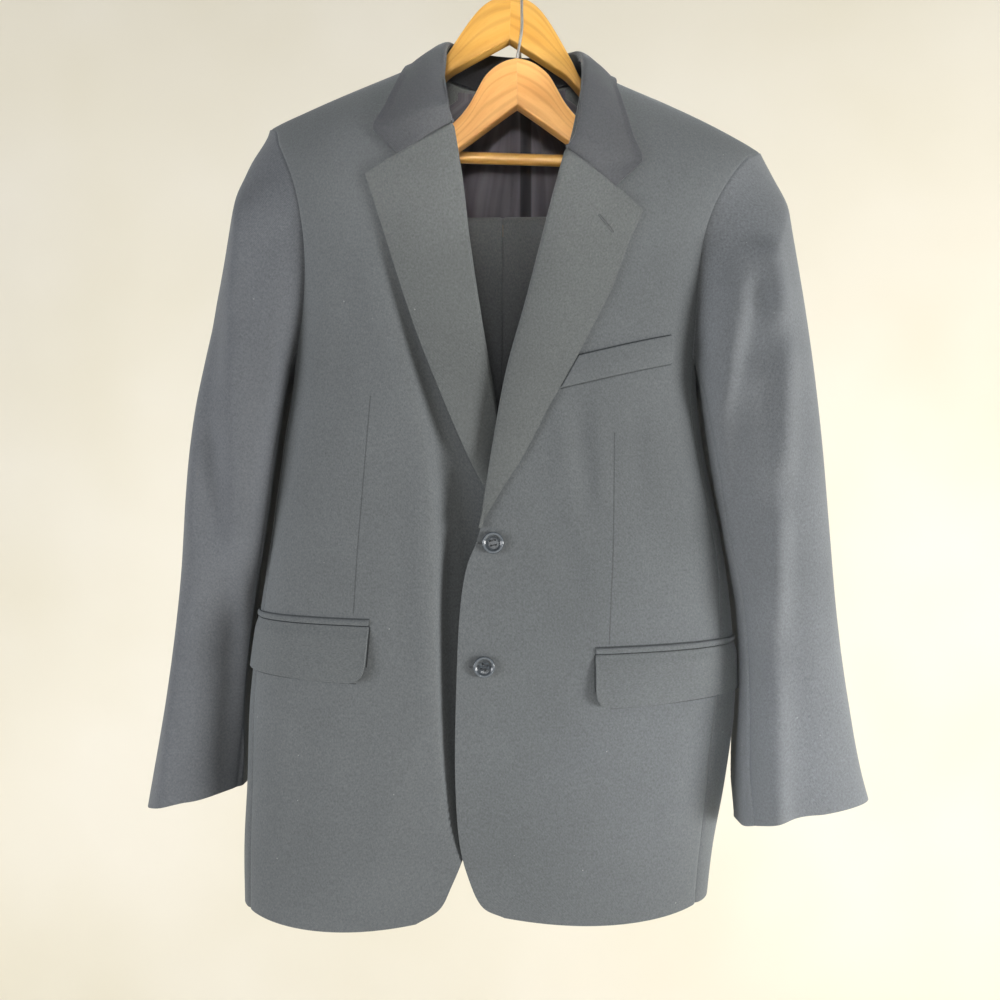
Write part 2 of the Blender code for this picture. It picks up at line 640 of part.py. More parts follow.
# ---------------------------------------------------------------- the jacket
def build_shell():
    """The fronts, side panels, backs and sleeves, which share their seams' points."""
    grids, away = {}, {}
    axis = np.array([-0.01, 0.0, 0.0])
    for side, name in SIDE_NAMES.items():
        front, back = front_grid(side), back_grid(side)
        panel = side_grid(side, ROWS[ARMHOLE_ROW:])
        sleeve = sleeve_grid(side, armhole_ring(front, panel, back))
        sleeve = np.concatenate([sleeve, sleeve[:, :1]], 1)
        upper = np.concatenate([sleeve[:, BACK_SEAM_STEP:-1], sleeve[:, : FRONT_SEAM_STEP + 1]], 1)
        under = sleeve[:, FRONT_SEAM_STEP : BACK_SEAM_STEP + 1]
        pieces = {"front": front, "side": panel, "back": back, "sleeve_upper": upper, "sleeve_under": under}
        arm_axis = np.broadcast_to(sleeve[:, :-1].mean(1, keepdims=True), (len(sleeve), 1, 3))
        for piece, grid in pieces.items():
            key = f"jacket_{piece}_{name}"
            grids[key] = grid
            body_axis = grid * (0, 0, 1) + axis
            away[key] = arm_axis if piece.startswith("sleeve") else body_axis
    turned = shared_normals(grids, away)
    for name, grid in grids.items():
        inner = grid - turned[name] * JACKET_WALL
        gap = SLEEVE_GAP / 2 if "sleeve" in name else SEAM_INSET
        outer = inset(grid, gap)
        wall(name, outer, inner + (outer - grid), "suiting")
    return grids


def front_normal(x, drop, side):
    """The outward normal of a front, from its slopes."""
    step = 0.001
    slope_x = (front_y(x + step, drop, side) - front_y(x - step, drop, side)) / (2 * step)
    slope_z = -(front_y(x, drop + step, side) - front_y(x, drop - step, side)) / (2 * step)
    found = np.stack([slope_x, -np.ones_like(slope_x), slope_z], -1)
    return found / np.linalg.norm(found, axis=-1, keepdims=True)


def on_front(x, drop, side, out):
    """Points a distance out from a front's face."""
    x, drop = np.broadcast_arrays(np.asarray(x, float), np.asarray(drop, float))
    face = np.stack([x, front_y(x, drop, side), -drop], -1)
    return face + front_normal(x, drop, side) * np.asarray(out)[..., None]


# Each lapel by sections: the front's section its roll line starts from, and its outer edge.
LAPEL = {
    RIGHT: table(
        "section edge_x edge_drop",
        (2.62, -0.1341, 0.2662),
        (3.0, -0.1300, 0.2790),
        (4.0, -0.1214, 0.3071),
        (5.0, -0.1100, 0.3440),
        (6.0, -0.0965, 0.3850),
        (7.0, -0.0745, 0.4430),
        (8.0, -0.0437, 0.5152),
        (8.5, -0.0300, 0.5420),
        (9.0, -0.0130, 0.5720),
        (9.3, -0.0035, 0.5930),
    ),
    LEFT: table(
        "section edge_x edge_drop",
        (3.48, 0.1104, 0.2978),
        (3.9, 0.1050, 0.3100),
        (4.5, 0.0958, 0.3308),
        (5.2, 0.0836, 0.3648),
        (6.0, 0.0645, 0.4030),
        (6.6, 0.0480, 0.4350),
        (7.2, 0.0300, 0.4670),
        (8.0, 0.0045, 0.5150),
        (8.5, -0.0130, 0.5430),
        (9.0, -0.0295, 0.5710),
    ),
}
LAPEL_COLUMNS = np.array((0, 0.10, 0.35, 0.65, 1))
LAPEL_LIFT = 0.0030
LAPEL_REST = {RIGHT: 0.0012, LEFT: 0.0007}
LAPEL_BRIDGE = 0.8
LAPEL_FOOT_SECTION, LIFT_FADE, BRIDGE_FADE = 9.3, 3, 2.5
ROLL_COVER = 0.0020


def lapel_grid(side, out, columns=LAPEL_COLUMNS, rows=None):
    """A lapel's points a distance out from its rest on the front."""
    rows = LAPEL[side]["section"] if rows is None else rows
    v, u = np.meshgrid(rows, columns, indexing="ij")
    roll_x = read(FRONT[side], "edge_x", v) - side * ROLL_COVER
    roll_drop = read(FRONT[side], "edge_drop", v)
    x = roll_x + (read(LAPEL[side], "edge_x", v) - roll_x) * u
    drop = roll_drop + (read(LAPEL[side], "edge_drop", v) - roll_drop) * u
    from_foot = LAPEL_FOOT_SECTION - v
    lift = LAPEL_LIFT * np.sin(np.pi * np.clip(u, 0, 1) ** 0.7) * ease(from_foot / LIFT_FADE)
    lift = LAPEL_REST[side] + lift
    points = on_front(x, drop, side, lift + out)
    if side == RIGHT:
        # The stiff lapel stands clear of the front where that bends back under it.
        points[..., 1] -= LAPEL_BRIDGE * tuck_depth(x, drop) * ease(u) * ease(from_foot / BRIDGE_FADE)
    return points


def build_lapels():
    for side, name in SIDE_NAMES.items():
        wall(f"jacket_lapel_{name}", lapel_grid(side, FACING_WALL), lapel_grid(side, 0.0), "suiting")


# The collar round the neck, from the right notch to the left one: its crease, where the stand
# turns over into the fall, and the fall's outer edge. lies is -1 on a front, 0 on the shoulder
# seam and 1 on the back.
COLLAR = table(
    "station crease_x crease_y crease_drop edge_x edge_drop lies",
    (0, -0.0592, -0.0880, 0.2185, -0.1080, 0.2492, -1),
    (1, -0.0600, -0.0850, 0.2070, -0.1282, 0.2262, -1),
    (2, -0.0625, -0.0760, 0.1890, -0.1190, 0.2010, -1),
    (3, -0.0655, -0.0610, 0.1690, -0.1120, 0.1790, -1),
    (4, -0.0672, -0.0420, 0.1465, -0.1075, 0.1610, -1),
    (5, -0.0675, -0.0220, 0.1245, -0.1050, 0.1490, -1),
    (6, -0.0655, -0.0030, 0.1085, -0.1030, 0.1385, 0),
    (7, -0.0590, 0.0170, 0.1000, -0.0960, 0.1490, 1),
    (8, -0.0450, 0.0330, 0.0968, -0.0740, 0.1500, 1),
    (9, -0.0240, 0.0430, 0.0962, -0.0400, 0.1530, 1),
    (10, -0.0020, 0.0460, 0.0967, -0.0030, 0.1545, 1),
    (11, 0.0200, 0.0430, 0.0985, 0.0340, 0.1555, 1),
    (12, 0.0400, 0.0330, 0.1020, 0.0640, 0.1550, 1),
    (13, 0.0530, 0.0170, 0.1075, 0.0840, 0.1580, 1),
    (14, 0.0595, -0.0030, 0.1175, 0.0920, 0.1480, 0),
    (15, 0.0615, -0.0220, 0.1340, 0.0930, 0.1620, -1),
    (16, 0.0608, -0.0420, 0.1540, 0.0920, 0.1740, -1),
    (17, 0.0582, -0.0600, 0.1750, 0.0940, 0.1860, -1),
    (18, 0.0555, -0.0740, 0.1970, 0.0978, 0.2080, -1),
    (19, 0.0530, -0.0820, 0.2170, 0.1026, 0.2310, -1),
    (20, 0.0500, -0.0870, 0.2320, 0.1091, 0.2565, -1),
    (21, 0.0475, -0.0890, 0.2434, 0.0861, 0.2768, -1),
)
COLLAR_COLUMNS = np.array((0, 0.12, 0.4, 0.7, 1))
COLLAR_BULGE = 0.004
COLLAR_REST = 0.0020
SHOULDER_STATIONS = (5.5, 6.5, 13.5, 14.5)
STAND_STATIONS = (5, 6, 7, 8, 9, 10, 11, 12, 13, 14, 15)
STAND_COLUMNS = np.array((0, 0.5, 1))
# How far along the neck seam each of the stand's stations is, from the centre back.
STAND_FEET = (0.0, 0.36, 0.66, 0.86, 0.98)
STAND_MIDDLE, STAND_GAP, STAND_WALL = 10, 0.0010, 0.0014


def clear_of_body(points, gap):
    """Points moved out to at least a gap from the jacket's fronts, shoulders and back."""
    x, y, drop = points[..., 0], points[..., 1], -points[..., 2]
    ahead = y < 0
    reach = np.where(ahead, read(SHOULDER, "reach", x), BACK_REACH) + gap
    depth = np.where(ahead, read(BODY, "front", drop), read(BODY, "back", drop))
    depth = depth * roundness(x, drop) + gap
    below = np.clip(read(SHOULDER, "drop", x) - gap + reach - drop, 0, None)
    share = np.hypot(below / reach, y / depth)
    scale = np.where(share < 1, 1 / np.maximum(share, 1e-6), 1)
    moved_drop = read(SHOULDER, "drop", x) - gap + reach - below * scale
    drop = np.where(below > 0, moved_drop, drop)
    return np.stack([x, y * scale, -drop], -1)


def collar_edge(stations):
    """The fall's outer edge on the face that it lies on, and on its outward side."""
    x, drop = read(COLLAR, "edge_x", stations), read(COLLAR, "edge_drop", stations)
    lies = read(COLLAR, "lies", stations)
    front = -read(BODY, "front", drop) * rise(x, drop, read(SHOULDER, "reach", x)) * roundness(x, drop)
    y = np.where(lies < 0, front, back_y(x, drop)) * np.abs(np.clip(lies, -1, 1))
    return np.stack([x, y, -drop], -1)


def collar_grid(out, stations=COLLAR["station"], columns=COLLAR_COLUMNS):
    """The fall's points, a distance out from its under side."""
    crease = np.stack([read(COLLAR, c, stations) for c in ("crease_x", "crease_y", "crease_drop")], -1)
    crease[:, 2] *= -1
    edge = collar_edge(stations)
    u = columns[None, :, None]
    fall = edge - crease
    along = np.gradient(crease, axis=0)
    outward = np.cross(along, fall)
    outward /= np.linalg.norm(outward, axis=-1, keepdims=True)
    outward *= np.sign(outward[:, 2:3] + 1e-9)
    bulge = COLLAR_BULGE * np.sin(np.pi * columns**0.7)[None, :, None]
    points = crease[:, None] + fall[:, None] * u + outward[:, None] * (bulge + out)
    return clear_of_body(points, COLLAR_REST + out)


def build_collar():
    stations = np.sort(np.append(COLLAR["station"], SHOULDER_STATIONS))
    outer, inner = collar_grid(FACING_WALL, stations), collar_grid(0.0, stations)
    wall("jacket_collar", inset(outer), inset(inner), "suiting")
    stations = np.array(STAND_STATIONS, float)
    crease = collar_grid(0.0, stations)[:, 0]
    neck = {side: (FRONT[side]["edge_x"][0], FRONT[side]["edge_drop"][0]) for side in SIDE_NAMES}
    feet = []
    for station in stations:
        side = RIGHT if station < STAND_MIDDLE else LEFT
        neck_x, neck_point_drop = neck[side]
        step = int(abs(station - STAND_MIDDLE))
        if step < len(STAND_FEET):
            x = neck_x * STAND_FEET[step]
            drop = float(neck_drop(x, neck_x, neck_point_drop))
            feet.append((x, float(back_y(np.array(x), np.array(drop))), -drop))
        else:
            feet.append(tuple(front_grid(side, np.array([0.10]), np.array([0.0]))[0, 0]))
    feet = np.array(feet)
    middle = np.array([-0.003, 0.0, 0.0])
    inward = (middle - crease) * (1, 1, 0)
    inward /= np.linalg.norm(inward, axis=-1, keepdims=True)
    foot = feet + unit(crease - feet) * STAND_GAP
    head = crease + inward * 0.0008 + (0, 0, -0.0012)
    face = foot[:, None] + (head - foot)[:, None] * STAND_COLUMNS[None, :, None]
    wall("jacket_collar_stand", face, face + inward[:, None] * STAND_WALL, "suiting")


# ---------------------------------------------------------------- pockets
WELT = {
    "top_left": (0.0531, 0.4269),
    "top_right": (0.1387, 0.4055),
    "bottom_right": (0.1380, 0.4310),
    "bottom_left": (0.0375, 0.4553),
}
# On each side: where the pocket's mouth starts and its drop there, how far round the side it
# goes, how much lower its far end is, and the flap's depth at its near and far ends.
POCKET = {
    RIGHT: {"x": -0.1308, "drop": 0.6590, "length": 0.150, "fall": -0.0030, "flap": 0.0492, "far": 0.0465},
    LEFT: {"x": 0.0682, "drop": 0.6835, "length": 0.152, "fall": -0.0042, "flap": 0.0462, "far": 0.0425},
}
JET_HEIGHT = 0.0056
FLAP_ROUND = 0.013
REST_OUT = 0.0008
WELT_REST = 0.0016
POCKET_COLUMNS = (0, 0.03, 0.09, 0.18, 0.28, 0.38, 0.47, 0.55, 0.63, 0.70, 0.77, 0.84, 0.92, 1)
POCKET_ROWS, WELT_COLUMNS = 4, 6
FLAP_GAP = 0.0004


def build_welt():
    u, v = np.meshgrid(np.linspace(0, 1, WELT_COLUMNS), np.linspace(0, 1, POCKET_ROWS))
    corners = {name: np.array(point) for name, point in WELT.items()}
    top = corners["top_left"] + (corners["top_right"] - corners["top_left"]) * u[..., None]
    bottom = corners["bottom_left"] + (corners["bottom_right"] - corners["bottom_left"]) * u[..., None]
    places = top + (bottom - top) * v[..., None]
    x, drop = places[..., 0], places[..., 1]
    outer, inner = (on_front(x, drop, LEFT, out + 0 * x) for out in (WELT_REST + FACING_WALL, WELT_REST))
    wall("jacket_breast_welt", outer, inner, "suiting")


def pocket_places(side, shares):
    """Angles round the body's side at equal steps along the pocket's mouth."""
    spec = POCKET[side]
    start = section_point(spec["x"], spec["drop"], side, True)
    angles = np.linspace(start, -0.5, 400)
    points = around(side, angles, np.full(400, spec["drop"]))
    run = np.concatenate([[0], np.cumsum(np.linalg.norm(np.diff(points, axis=0), axis=1))])
    return np.interp(shares * spec["length"], run, angles)


def flap_depth(side, shares):
    spec = POCKET[side]
    return spec["flap"] + (spec["far"] - spec["flap"]) * shares


def body_normal(side, angle, drop):
    step = 0.002
    across = around(side, angle + step, drop) - around(side, angle - step, drop)
    down = around(side, angle, drop + step) - around(side, angle, drop - step)
    found = np.cross(across, down)
    found /= np.linalg.norm(found, axis=-1, keepdims=True) + 1e-12
    return found * np.sign(np.sum(found * (around(side, angle, drop) * (1, 1, 0)), -1))[..., None]


def pocket_piece(name, side, columns, top, bottom):
    """A strip on the body from a top to a bottom drop under the mouth's line."""
    spec = POCKET[side]
    shares = np.array(columns)
    angles = pocket_places(side, shares)
    u, v = np.meshgrid(shares, np.linspace(0, 1, POCKET_ROWS), indexing="ij")
    mouth = spec["drop"] + spec["fall"] * u
    drop = mouth + top[:, None] + (bottom - top)[:, None] * v
    angle = np.broadcast_to(angles[:, None], drop.shape)
    face, out = around(side, angle, drop), body_normal(side, angle, drop)
    wall(name, face + out * (REST_OUT + FACING_WALL), face + out * REST_OUT, "suiting")


def build_pockets():
    build_welt()
    for side, name in SIDE_NAMES.items():
        mouth = np.zeros(len(POCKET_COLUMNS))
        pocket_piece(f"jacket_pocket_jet_{name}", side, POCKET_COLUMNS, mouth, mouth + JET_HEIGHT)
        along = np.array(POCKET_COLUMNS) * POCKET[side]["length"]
        before_corner = np.clip(FLAP_ROUND - along, 0, FLAP_ROUND)
        round_off = FLAP_ROUND - np.sqrt(FLAP_ROUND**2 - before_corner**2)
        top = mouth + JET_HEIGHT + FLAP_GAP
        bottom = top + flap_depth(side, np.array(POCKET_COLUMNS)) - round_off
        pocket_piece(f"jacket_pocket_flap_{name}", side, POCKET_COLUMNS, top, bottom)


# ---------------------------------------------------------------- lining
LINING = table(
    "drop right left",
    (0.145, -0.060, 0.052),
    (0.170, -0.095, 0.085),
    (0.210, -0.130, 0.115),
    (0.260, -0.155, 0.130),
    (0.330, -0.168, 0.138),
    (0.450, -0.172, 0.132),
    (0.600, -0.185, 0.145),
    (0.800, -0.205, 0.150),
    (0.905, -0.210, 0.140),
)
LINING_ROWS = np.array((0.145, 0.160, 0.180, 0.210, 0.250, 0.32, 0.42, 0.54, 0.66, 0.78, 0.905))
LINING_COLUMNS = np.array((0, 0.12, 0.26, 0.38, 0.46, 0.50, 0.54, 0.58, 0.62, 0.74, 0.88, 1))
# It hangs this far inside the back, nearer at its top, where it is sewn in.
LINING_OFFSET, LINING_TOP_OFFSET = 0.0062, 0.0038
PLEAT_X, PLEAT_HALF, PLEAT_RISE = 0.003, 0.007, 0.0022


def lining_grid(out, rows, columns):
    v, u = np.meshgrid(rows, columns, indexing="ij")
    x = read(LINING, "right", v) + (read(LINING, "left", v) - read(LINING, "right", v)) * u
    pleat = PLEAT_RISE * np.exp(-(((x - PLEAT_X) / PLEAT_HALF) ** 4)) * ease((v - 0.15) / 0.03)
    step = 0.002
    slope_x = (back_y(x + step, v) - back_y(x - step, v)) / (2 * step)
    slope_z = -(back_y(x, v + step) - back_y(x, v - step)) / (2 * step)
    outward = np.stack([-slope_x, np.ones_like(x), -slope_z], -1)
    outward /= np.linalg.norm(outward, axis=-1, keepdims=True)
    clear = LINING_TOP_OFFSET + (LINING_OFFSET - LINING_TOP_OFFSET) * ease((v - 0.145) / 0.04)
    return np.stack([x, back_y(x, v), -v], -1) - outward * (clear + out + pleat)[..., None]


def build_lining():
    outer, inner = (lining_grid(out, LINING_ROWS, LINING_COLUMNS) for out in (0.0, LINING_WALL))
    wall("jacket_back_lining", outer, inner, "lining")


# ---------------------------------------------------------------- buttons
def turned_profile(name, profile, sides, finish):
    """A solid turned round Z from (radius, height) pairs, the first and last on the axis."""
    vertices, faces = [], []
    rings = []
    for radius, height in profile:
        if radius == 0:
            rings.append([len(vertices)])
            vertices.append((0, 0, height))
            continue
        start = len(vertices)
        for k in range(sides):
            turn = 2 * math.pi * k / sides
            vertices.append((radius * math.cos(turn), radius * math.sin(turn), height))
        rings.append(list(range(start, start + sides)))
    for low, high in zip(rings, rings[1:]):
        for k in range(sides):
            first, second = k, k + 1
            quad = [low[first % len(low)], low[second % len(low)]]
            quad += [high[second % len(high)], high[first % len(high)]]
            faces.append(list(dict.fromkeys(quad)))
    return add_object(name, mesh_of(name, vertices, faces), finish)


def button_profile(diameter, thickness):
    r = diameter / 2
    return [
        (0, 0),
        (0.72 * r, 0),
        (0.97 * r, 0.35 * thickness),
        (r, 0.62 * thickness),
        (0.90 * r, thickness),
        (0.74 * r, 0.86 * thickness),
        (0.62 * r, 0.55 * thickness),
        (0, 0.50 * thickness),
    ]


def seat(obj, place, outward):
    """Turns a piece's +Z to face outward and puts it there."""
    turn = Vector(outward).to_track_quat("Z", "Y")
    obj.matrix_world = Matrix.Translation(Vector(place)) @ turn.to_matrix().to_4x4()


FRONT_BUTTONS = ((-0.0218, 0.5911), (-0.0296, 0.6995))
BUTTON_THICKNESS = 0.0034
HOLE_SPREAD, HOLE_RADIUS = 0.0021, 0.0009
CUFF_BUTTON_COUNT = 4
CUFF_BUTTON_START, CUFF_BUTTON_STEP = 0.030, 0.0158
CUFF_BUTTON_IN, CUFF_BUTTON_OUT, CUFF_BUTTON_THICKNESS = 0.0095, 0.0006, 0.0028
BUTTON_OUT = 0.0007


def drill(button, place, outward):
    """Four thread holes right through a button."""
    turn = Vector(outward).to_track_quat("Z", "Y")
    cutters = []
    for sx, sy in ((-1, -1), (1, -1), (1, 1), (-1, 1)):
        profile = [(0, -0.002), (HOLE_RADIUS, -0.002), (HOLE_RADIUS, 0.006), (0, 0.006)]
        cutter = turned_profile(f"{button.name}_hole", profile, 6, "button")
        offset = Matrix.Translation((sx * HOLE_SPREAD, sy * HOLE_SPREAD, 0))
        cutter.matrix_world = Matrix.Translation(Vector(place)) @ turn.to_matrix().to_4x4() @ offset
        cutter.hide_render = True
        cutter.display_type = "WIRE"
        cut = button.modifiers.new("thread hole", "BOOLEAN")
        cut.object = cutter
        cutters.append(cutter)
    return cutters


def build_front_buttons():
    for index, (x, drop) in enumerate(FRONT_BUTTONS, 1):
        profile = button_profile(FRONT_BUTTON_DIAMETER, BUTTON_THICKNESS)
        button = turned_profile(f"jacket_button_{index}", profile, 20, "button")
        spot = np.array(x), np.array(drop)
        place = on_front(*spot, LEFT, np.array(BUTTON_OUT))
        outward = front_normal(*spot, LEFT)
        seat(button, place, outward)
        drill(button, place, outward)


def build_cuff_buttons(grids):
    """A row of buttons up each sleeve's back seam, on the upper sleeve."""
    for side, name in SIDE_NAMES.items():
        upper = grids[f"jacket_sleeve_upper_{name}"]
        seam, beside = upper[:, 0], upper[:, 1]
        run = np.concatenate([[0], np.cumsum(np.linalg.norm(np.diff(seam[::-1], axis=0), axis=1))])
        for index in range(CUFF_BUTTON_COUNT):
            along = CUFF_BUTTON_START + CUFF_BUTTON_STEP * index
            at_seam, at_next, higher = (
                np.array([np.interp(reach, run, line[::-1, k]) for k in range(3)])
                for reach, line in ((along, seam), (along, beside), (along + CUFF_BUTTON_STEP, seam))
            )
            across = unit(at_next - at_seam)
            up = higher - at_seam
            outward = np.cross(across, up)
            outward /= np.linalg.norm(outward)
            outward *= 1 if outward[1] > 0 else -1
            place = at_seam + across * CUFF_BUTTON_IN + outward * CUFF_BUTTON_OUT
            profile = button_profile(CUFF_BUTTON_DIAMETER, CUFF_BUTTON_THICKNESS)
            button = turned_profile(f"cuff_button_{name}_{index + 1}", profile, 10, "button")
            seat(button, place, outward)


# ---------------------------------------------------------------- hangers
# Half of a hanger by its distance from the centre: the top and under edges' drop below the
# arch's top. Both arms are the same.
UPPER_HANGER = table(
    "out top under",
    (0.0003, 0.0000, 0.0425),
    (0.0140, 0.0026, 0.0505),
    (0.0285, 0.0122, 0.0590),
    (0.0386, 0.0247, 0.0650),
    (0.0474, 0.0381, 0.0705),
    (0.0540, 0.0490, 0.0745),
    (0.0622, 0.0628, 0.0820),
    (0.0690, 0.0758, 0.0895),
    (0.0756, 0.0840, 0.0960),
    (0.0950, 0.0922, 0.1070),
    (0.1500, 0.1152, 0.1360),
    (0.1850, 0.1278, 0.1560),
    (0.2050, 0.1347, 0.1695),
    (0.2160, 0.1428, 0.1670),
)
LOWER_HANGER = table(
    "out top under",
    (0.0003, 0.0000, 0.0445),
    (0.0104, 0.0024, 0.0515),
    (0.0218, 0.0088, 0.0597),
    (0.0306, 0.0174, 0.0662),
    (0.0375, 0.0295, 0.0712),
    (0.0432, 0.0400, 0.0753),
    (0.0518, 0.0516, 0.0812),
    (0.0650, 0.0640, 0.0900),
    (0.1000, 0.0860, 0.1120),
    (0.1400, 0.1105, 0.1385),
    (0.1700, 0.1290, 0.1640),
    (0.1900, 0.1430, 0.1820),
    (0.2020, 0.1560, 0.1790),
)
HANGERS = {
    "upper": {
        "shape": UPPER_HANGER,
        "top": (-0.0050, 0.0020, 0.0620),
        "tilt": 1.9,
        "bar_drop": 0.1570,
        "bar_end": 0.2020,
    },
    "lower": {
        "shape": LOWER_HANGER,
        "top": (0.0000, -0.0320, 0.1402),
        "tilt": -0.7,
        "bar_drop": 0.1600,
        "bar_end": 0.1860,
    },
}
WOOD_EDGE = 0.0032
BAR_SOCKET = 0.007


def hanger_frame(name):
    x, y, drop = HANGERS[name]["top"]
    return Matrix.Translation((x, y, -drop)) @ Matrix.Rotation(math.radians(HANGERS[name]["tilt"]), 4, "Y")


def build_arm(name, side):
    """One mitred wooden arm, cut from board, its long edges rounded, with a socket for the bar."""
    shape = HANGERS[name]["shape"]
    top = [(side * out, -drop) for out, drop in zip(shape["out"], shape["top"])]
    under = [(side * out, -drop) for out, drop in zip(shape["out"], shape["under"])]
    count = len(top)
    half = HANGER_THICKNESS / 2
    low = half - WOOD_EDGE
    # Around each station: the flat front, the rounded top, the flat back, the rounded under side.
    section = [(-half, -1), (-half, 1), (-low, 2), (low, 2), (half, 1), (half, -1), (low, -2), (-low, -2)]
    vertices, faces = [], []
    for (tx, tz), (ux, uz) in zip(top, under):
        for y, place in section:
            edge_x, edge_z = (tx, tz) if place > 0 else (ux, uz)
            back_off = WOOD_EDGE if abs(place) == 1 else 0
            vertices.append((edge_x, y, edge_z - math.copysign(back_off, place)))
    ring = len(section)
    for i in range(count - 1):
        for k in range(ring):
            nxt = (k + 1) % ring
            faces.append([i * ring + k, (i + 1) * ring + k, (i + 1) * ring + nxt, i * ring + nxt])
    faces.append(list(range(ring)))
    faces.append([(count - 1) * ring + k for k in range(ring)])
    obj_name = f"{name}_hanger_arm_{SIDE_NAMES[side]}"
    arm = add_object(obj_name, mesh_of(obj_name, vertices, faces), f"wood_{name}")
    arm.matrix_world = hanger_frame(name)
    spec = HANGERS[name]
    bore, past_arm = BAR_DIAMETER / 2 + SEAM_GAP, 0.06
    profile = [(0, -BAR_SOCKET), (bore, -BAR_SOCKET), (bore, past_arm), (0, past_arm)]
    cutter = turned_profile(f"{obj_name}_socket", profile, 14, f"wood_{name}")
    cutter.matrix_world = (
        hanger_frame(name)
        @ Matrix.Translation((side * spec["bar_end"], 0, -spec["bar_drop"]))
        @ Matrix.Rotation(math.radians(-90 * side), 4, "Y")
    )
    cutter.hide_render = True
    cutter.display_type = "WIRE"
    arm.modifiers.new("bar socket", "BOOLEAN").object = cutter


def build_bar(name):
    spec = HANGERS[name]
    half = spec["bar_end"] + BAR_SOCKET - SEAM_GAP
    radius = BAR_DIAMETER / 2
    profile = [(0, -half), (radius, -half), (radius, half), (0, half)]
    bar = turned_profile(f"{name}_hanger_bar", profile, 14, f"wood_{name}")
    level = Matrix.Translation((0, 0, -spec["bar_drop"])) @ Matrix.Rotation(math.radians(90), 4, "Y")
    bar.matrix_world = hanger_frame(name) @ level


def bent_wire(name, points, diameter, finish):
    """A round wire along a smooth line through its points."""
    curve = bpy.data.curves.new(name, "CURVE")
    curve.dimensions = "3D"
    curve.bevel_depth = diameter / 2
    curve.bevel_resolution = 1
    curve.use_fill_caps = True
    line = curve.splines.new("POLY")
    line.points.add(len(points) - 1)
    for spot, place in zip(line.points, points):
        spot.co = (*place, 1)
    curve.materials.append(MATERIALS[finish])
    obj = bpy.data.objects.new(name, curve)
    bpy.context.scene.collection.objects.link(obj)


UPPER_HOOK_RADIUS = 0.0210
LOWER_HOOK_RADIUS = 0.0300
LOWER_HOOK_DROP = 0.0627
LOWER_HOOK_X = 0.0048
LOWER_WIRE = 0.0026


def build_hooks():
    """The upper hook goes round a rod at the origin, the lower one over the upper hanger's wood."""
    _, y, drop = HANGERS["upper"]["top"]
    radius = UPPER_HOOK_RADIUS + HOOK_WIRE / 2
    centre = -UPPER_HOOK_RADIUS
    x = HANGERS["upper"]["top"][0]
    neck = [(x, y, -drop + 0.0006), (x * 0.6, y, -drop + 0.008)]
    turns = np.radians(np.linspace(-62, 190, 16))
    bend = [(radius * math.cos(a), 0, centre + radius * math.sin(a)) for a in turns]
    eased = [(x, y * max(0.0, 1 - i / 5), z) for i, (x, _, z) in enumerate(bend)]
    lead = [(0.0, y, centre - radius - 0.0008)]
    bent_wire("upper_hanger_hook", neck + lead + eased, HOOK_WIRE, "steel")
    _, y, drop = HANGERS["lower"]["top"]
    lower = LOWER_HOOK_RADIUS + LOWER_WIRE / 2
    middle = y + lower
    shank = [(0.0, y, -drop + 0.0006), (0.0020, y, -drop + 0.012), (LOWER_HOOK_X, y, -drop + 0.030)]
    turns = np.radians(np.linspace(180, -25, 14))
    height = -LOWER_HOOK_DROP - LOWER_HOOK_RADIUS
    over = [(LOWER_HOOK_X, middle + lower * math.cos(a), height + lower * math.sin(a)) for a in turns]
    bent_wire("lower_hanger_hook", shank + over, LOWER_WIRE, "steel")


# ---------------------------------------------------------------- trousers
# Along each leg from the hem, over the bar and down to the waist: the flat width there, and
# where the outseam lies. reach is measured from the top of the fold, the hem end below 0.
TROUSERS = table(
    "reach width middle",
    (-0.530, 0.215, -0.020),
    (-0.300, 0.225, -0.016),
    (0.000, 0.236, -0.013),
    (0.150, 0.255, -0.014),
    (0.300, 0.290, -0.016),
    (0.420, 0.280, -0.018),
    (0.490, 0.255, -0.018),
)
LEG_ROWS = (-0.530, -0.40, -0.27, -0.14, -0.045, 0.0, 0.045, 0.14, 0.27, 0.38, 0.490)
LEG_BEND_STEPS = 7
BAR_REST, LEG_REST = 0.0005, 0.0004
LEG_THICKNESS = 0.0029
WAISTBAND_HEIGHT = 0.038
WAISTBAND_STEPS, WAISTBAND_FLATNESS = 16, 0.35


def bar_centre():
    spec = HANGERS["lower"]
    return hanger_frame("lower") @ Vector((0, 0, -spec["bar_drop"]))


def leg_line(radius):
    """(reach, y, z, outward) along a leg, at a radius from the bar's axis."""
    centre = bar_centre()
    bend = radius * math.pi / 2
    line = []
    for reach in LEG_ROWS:
        if abs(reach) < 0.04:
            for k in range(LEG_BEND_STEPS):
                turn = math.pi * (1 - k / (LEG_BEND_STEPS - 1))
                line.append((bend * (1 - 2 * turn / math.pi), math.cos(turn), math.sin(turn), 0.0))
        else:
            way = math.copysign(1, reach)
            line.append((reach, way, 0.0, abs(reach) - bend))
    rows = []
    for reach, out_y, out_z, hang in line:
        y = centre.y + radius * out_y
        z = centre.z + radius * out_z - hang
        rows.append((reach, y, z, out_y, out_z))
    return rows


def bar_slope(x):
    """How much lower the bar's line is at x, since the hanger tilts."""
    return -(x - HANGERS["lower"]["top"][0]) * math.tan(math.radians(HANGERS["lower"]["tilt"]))


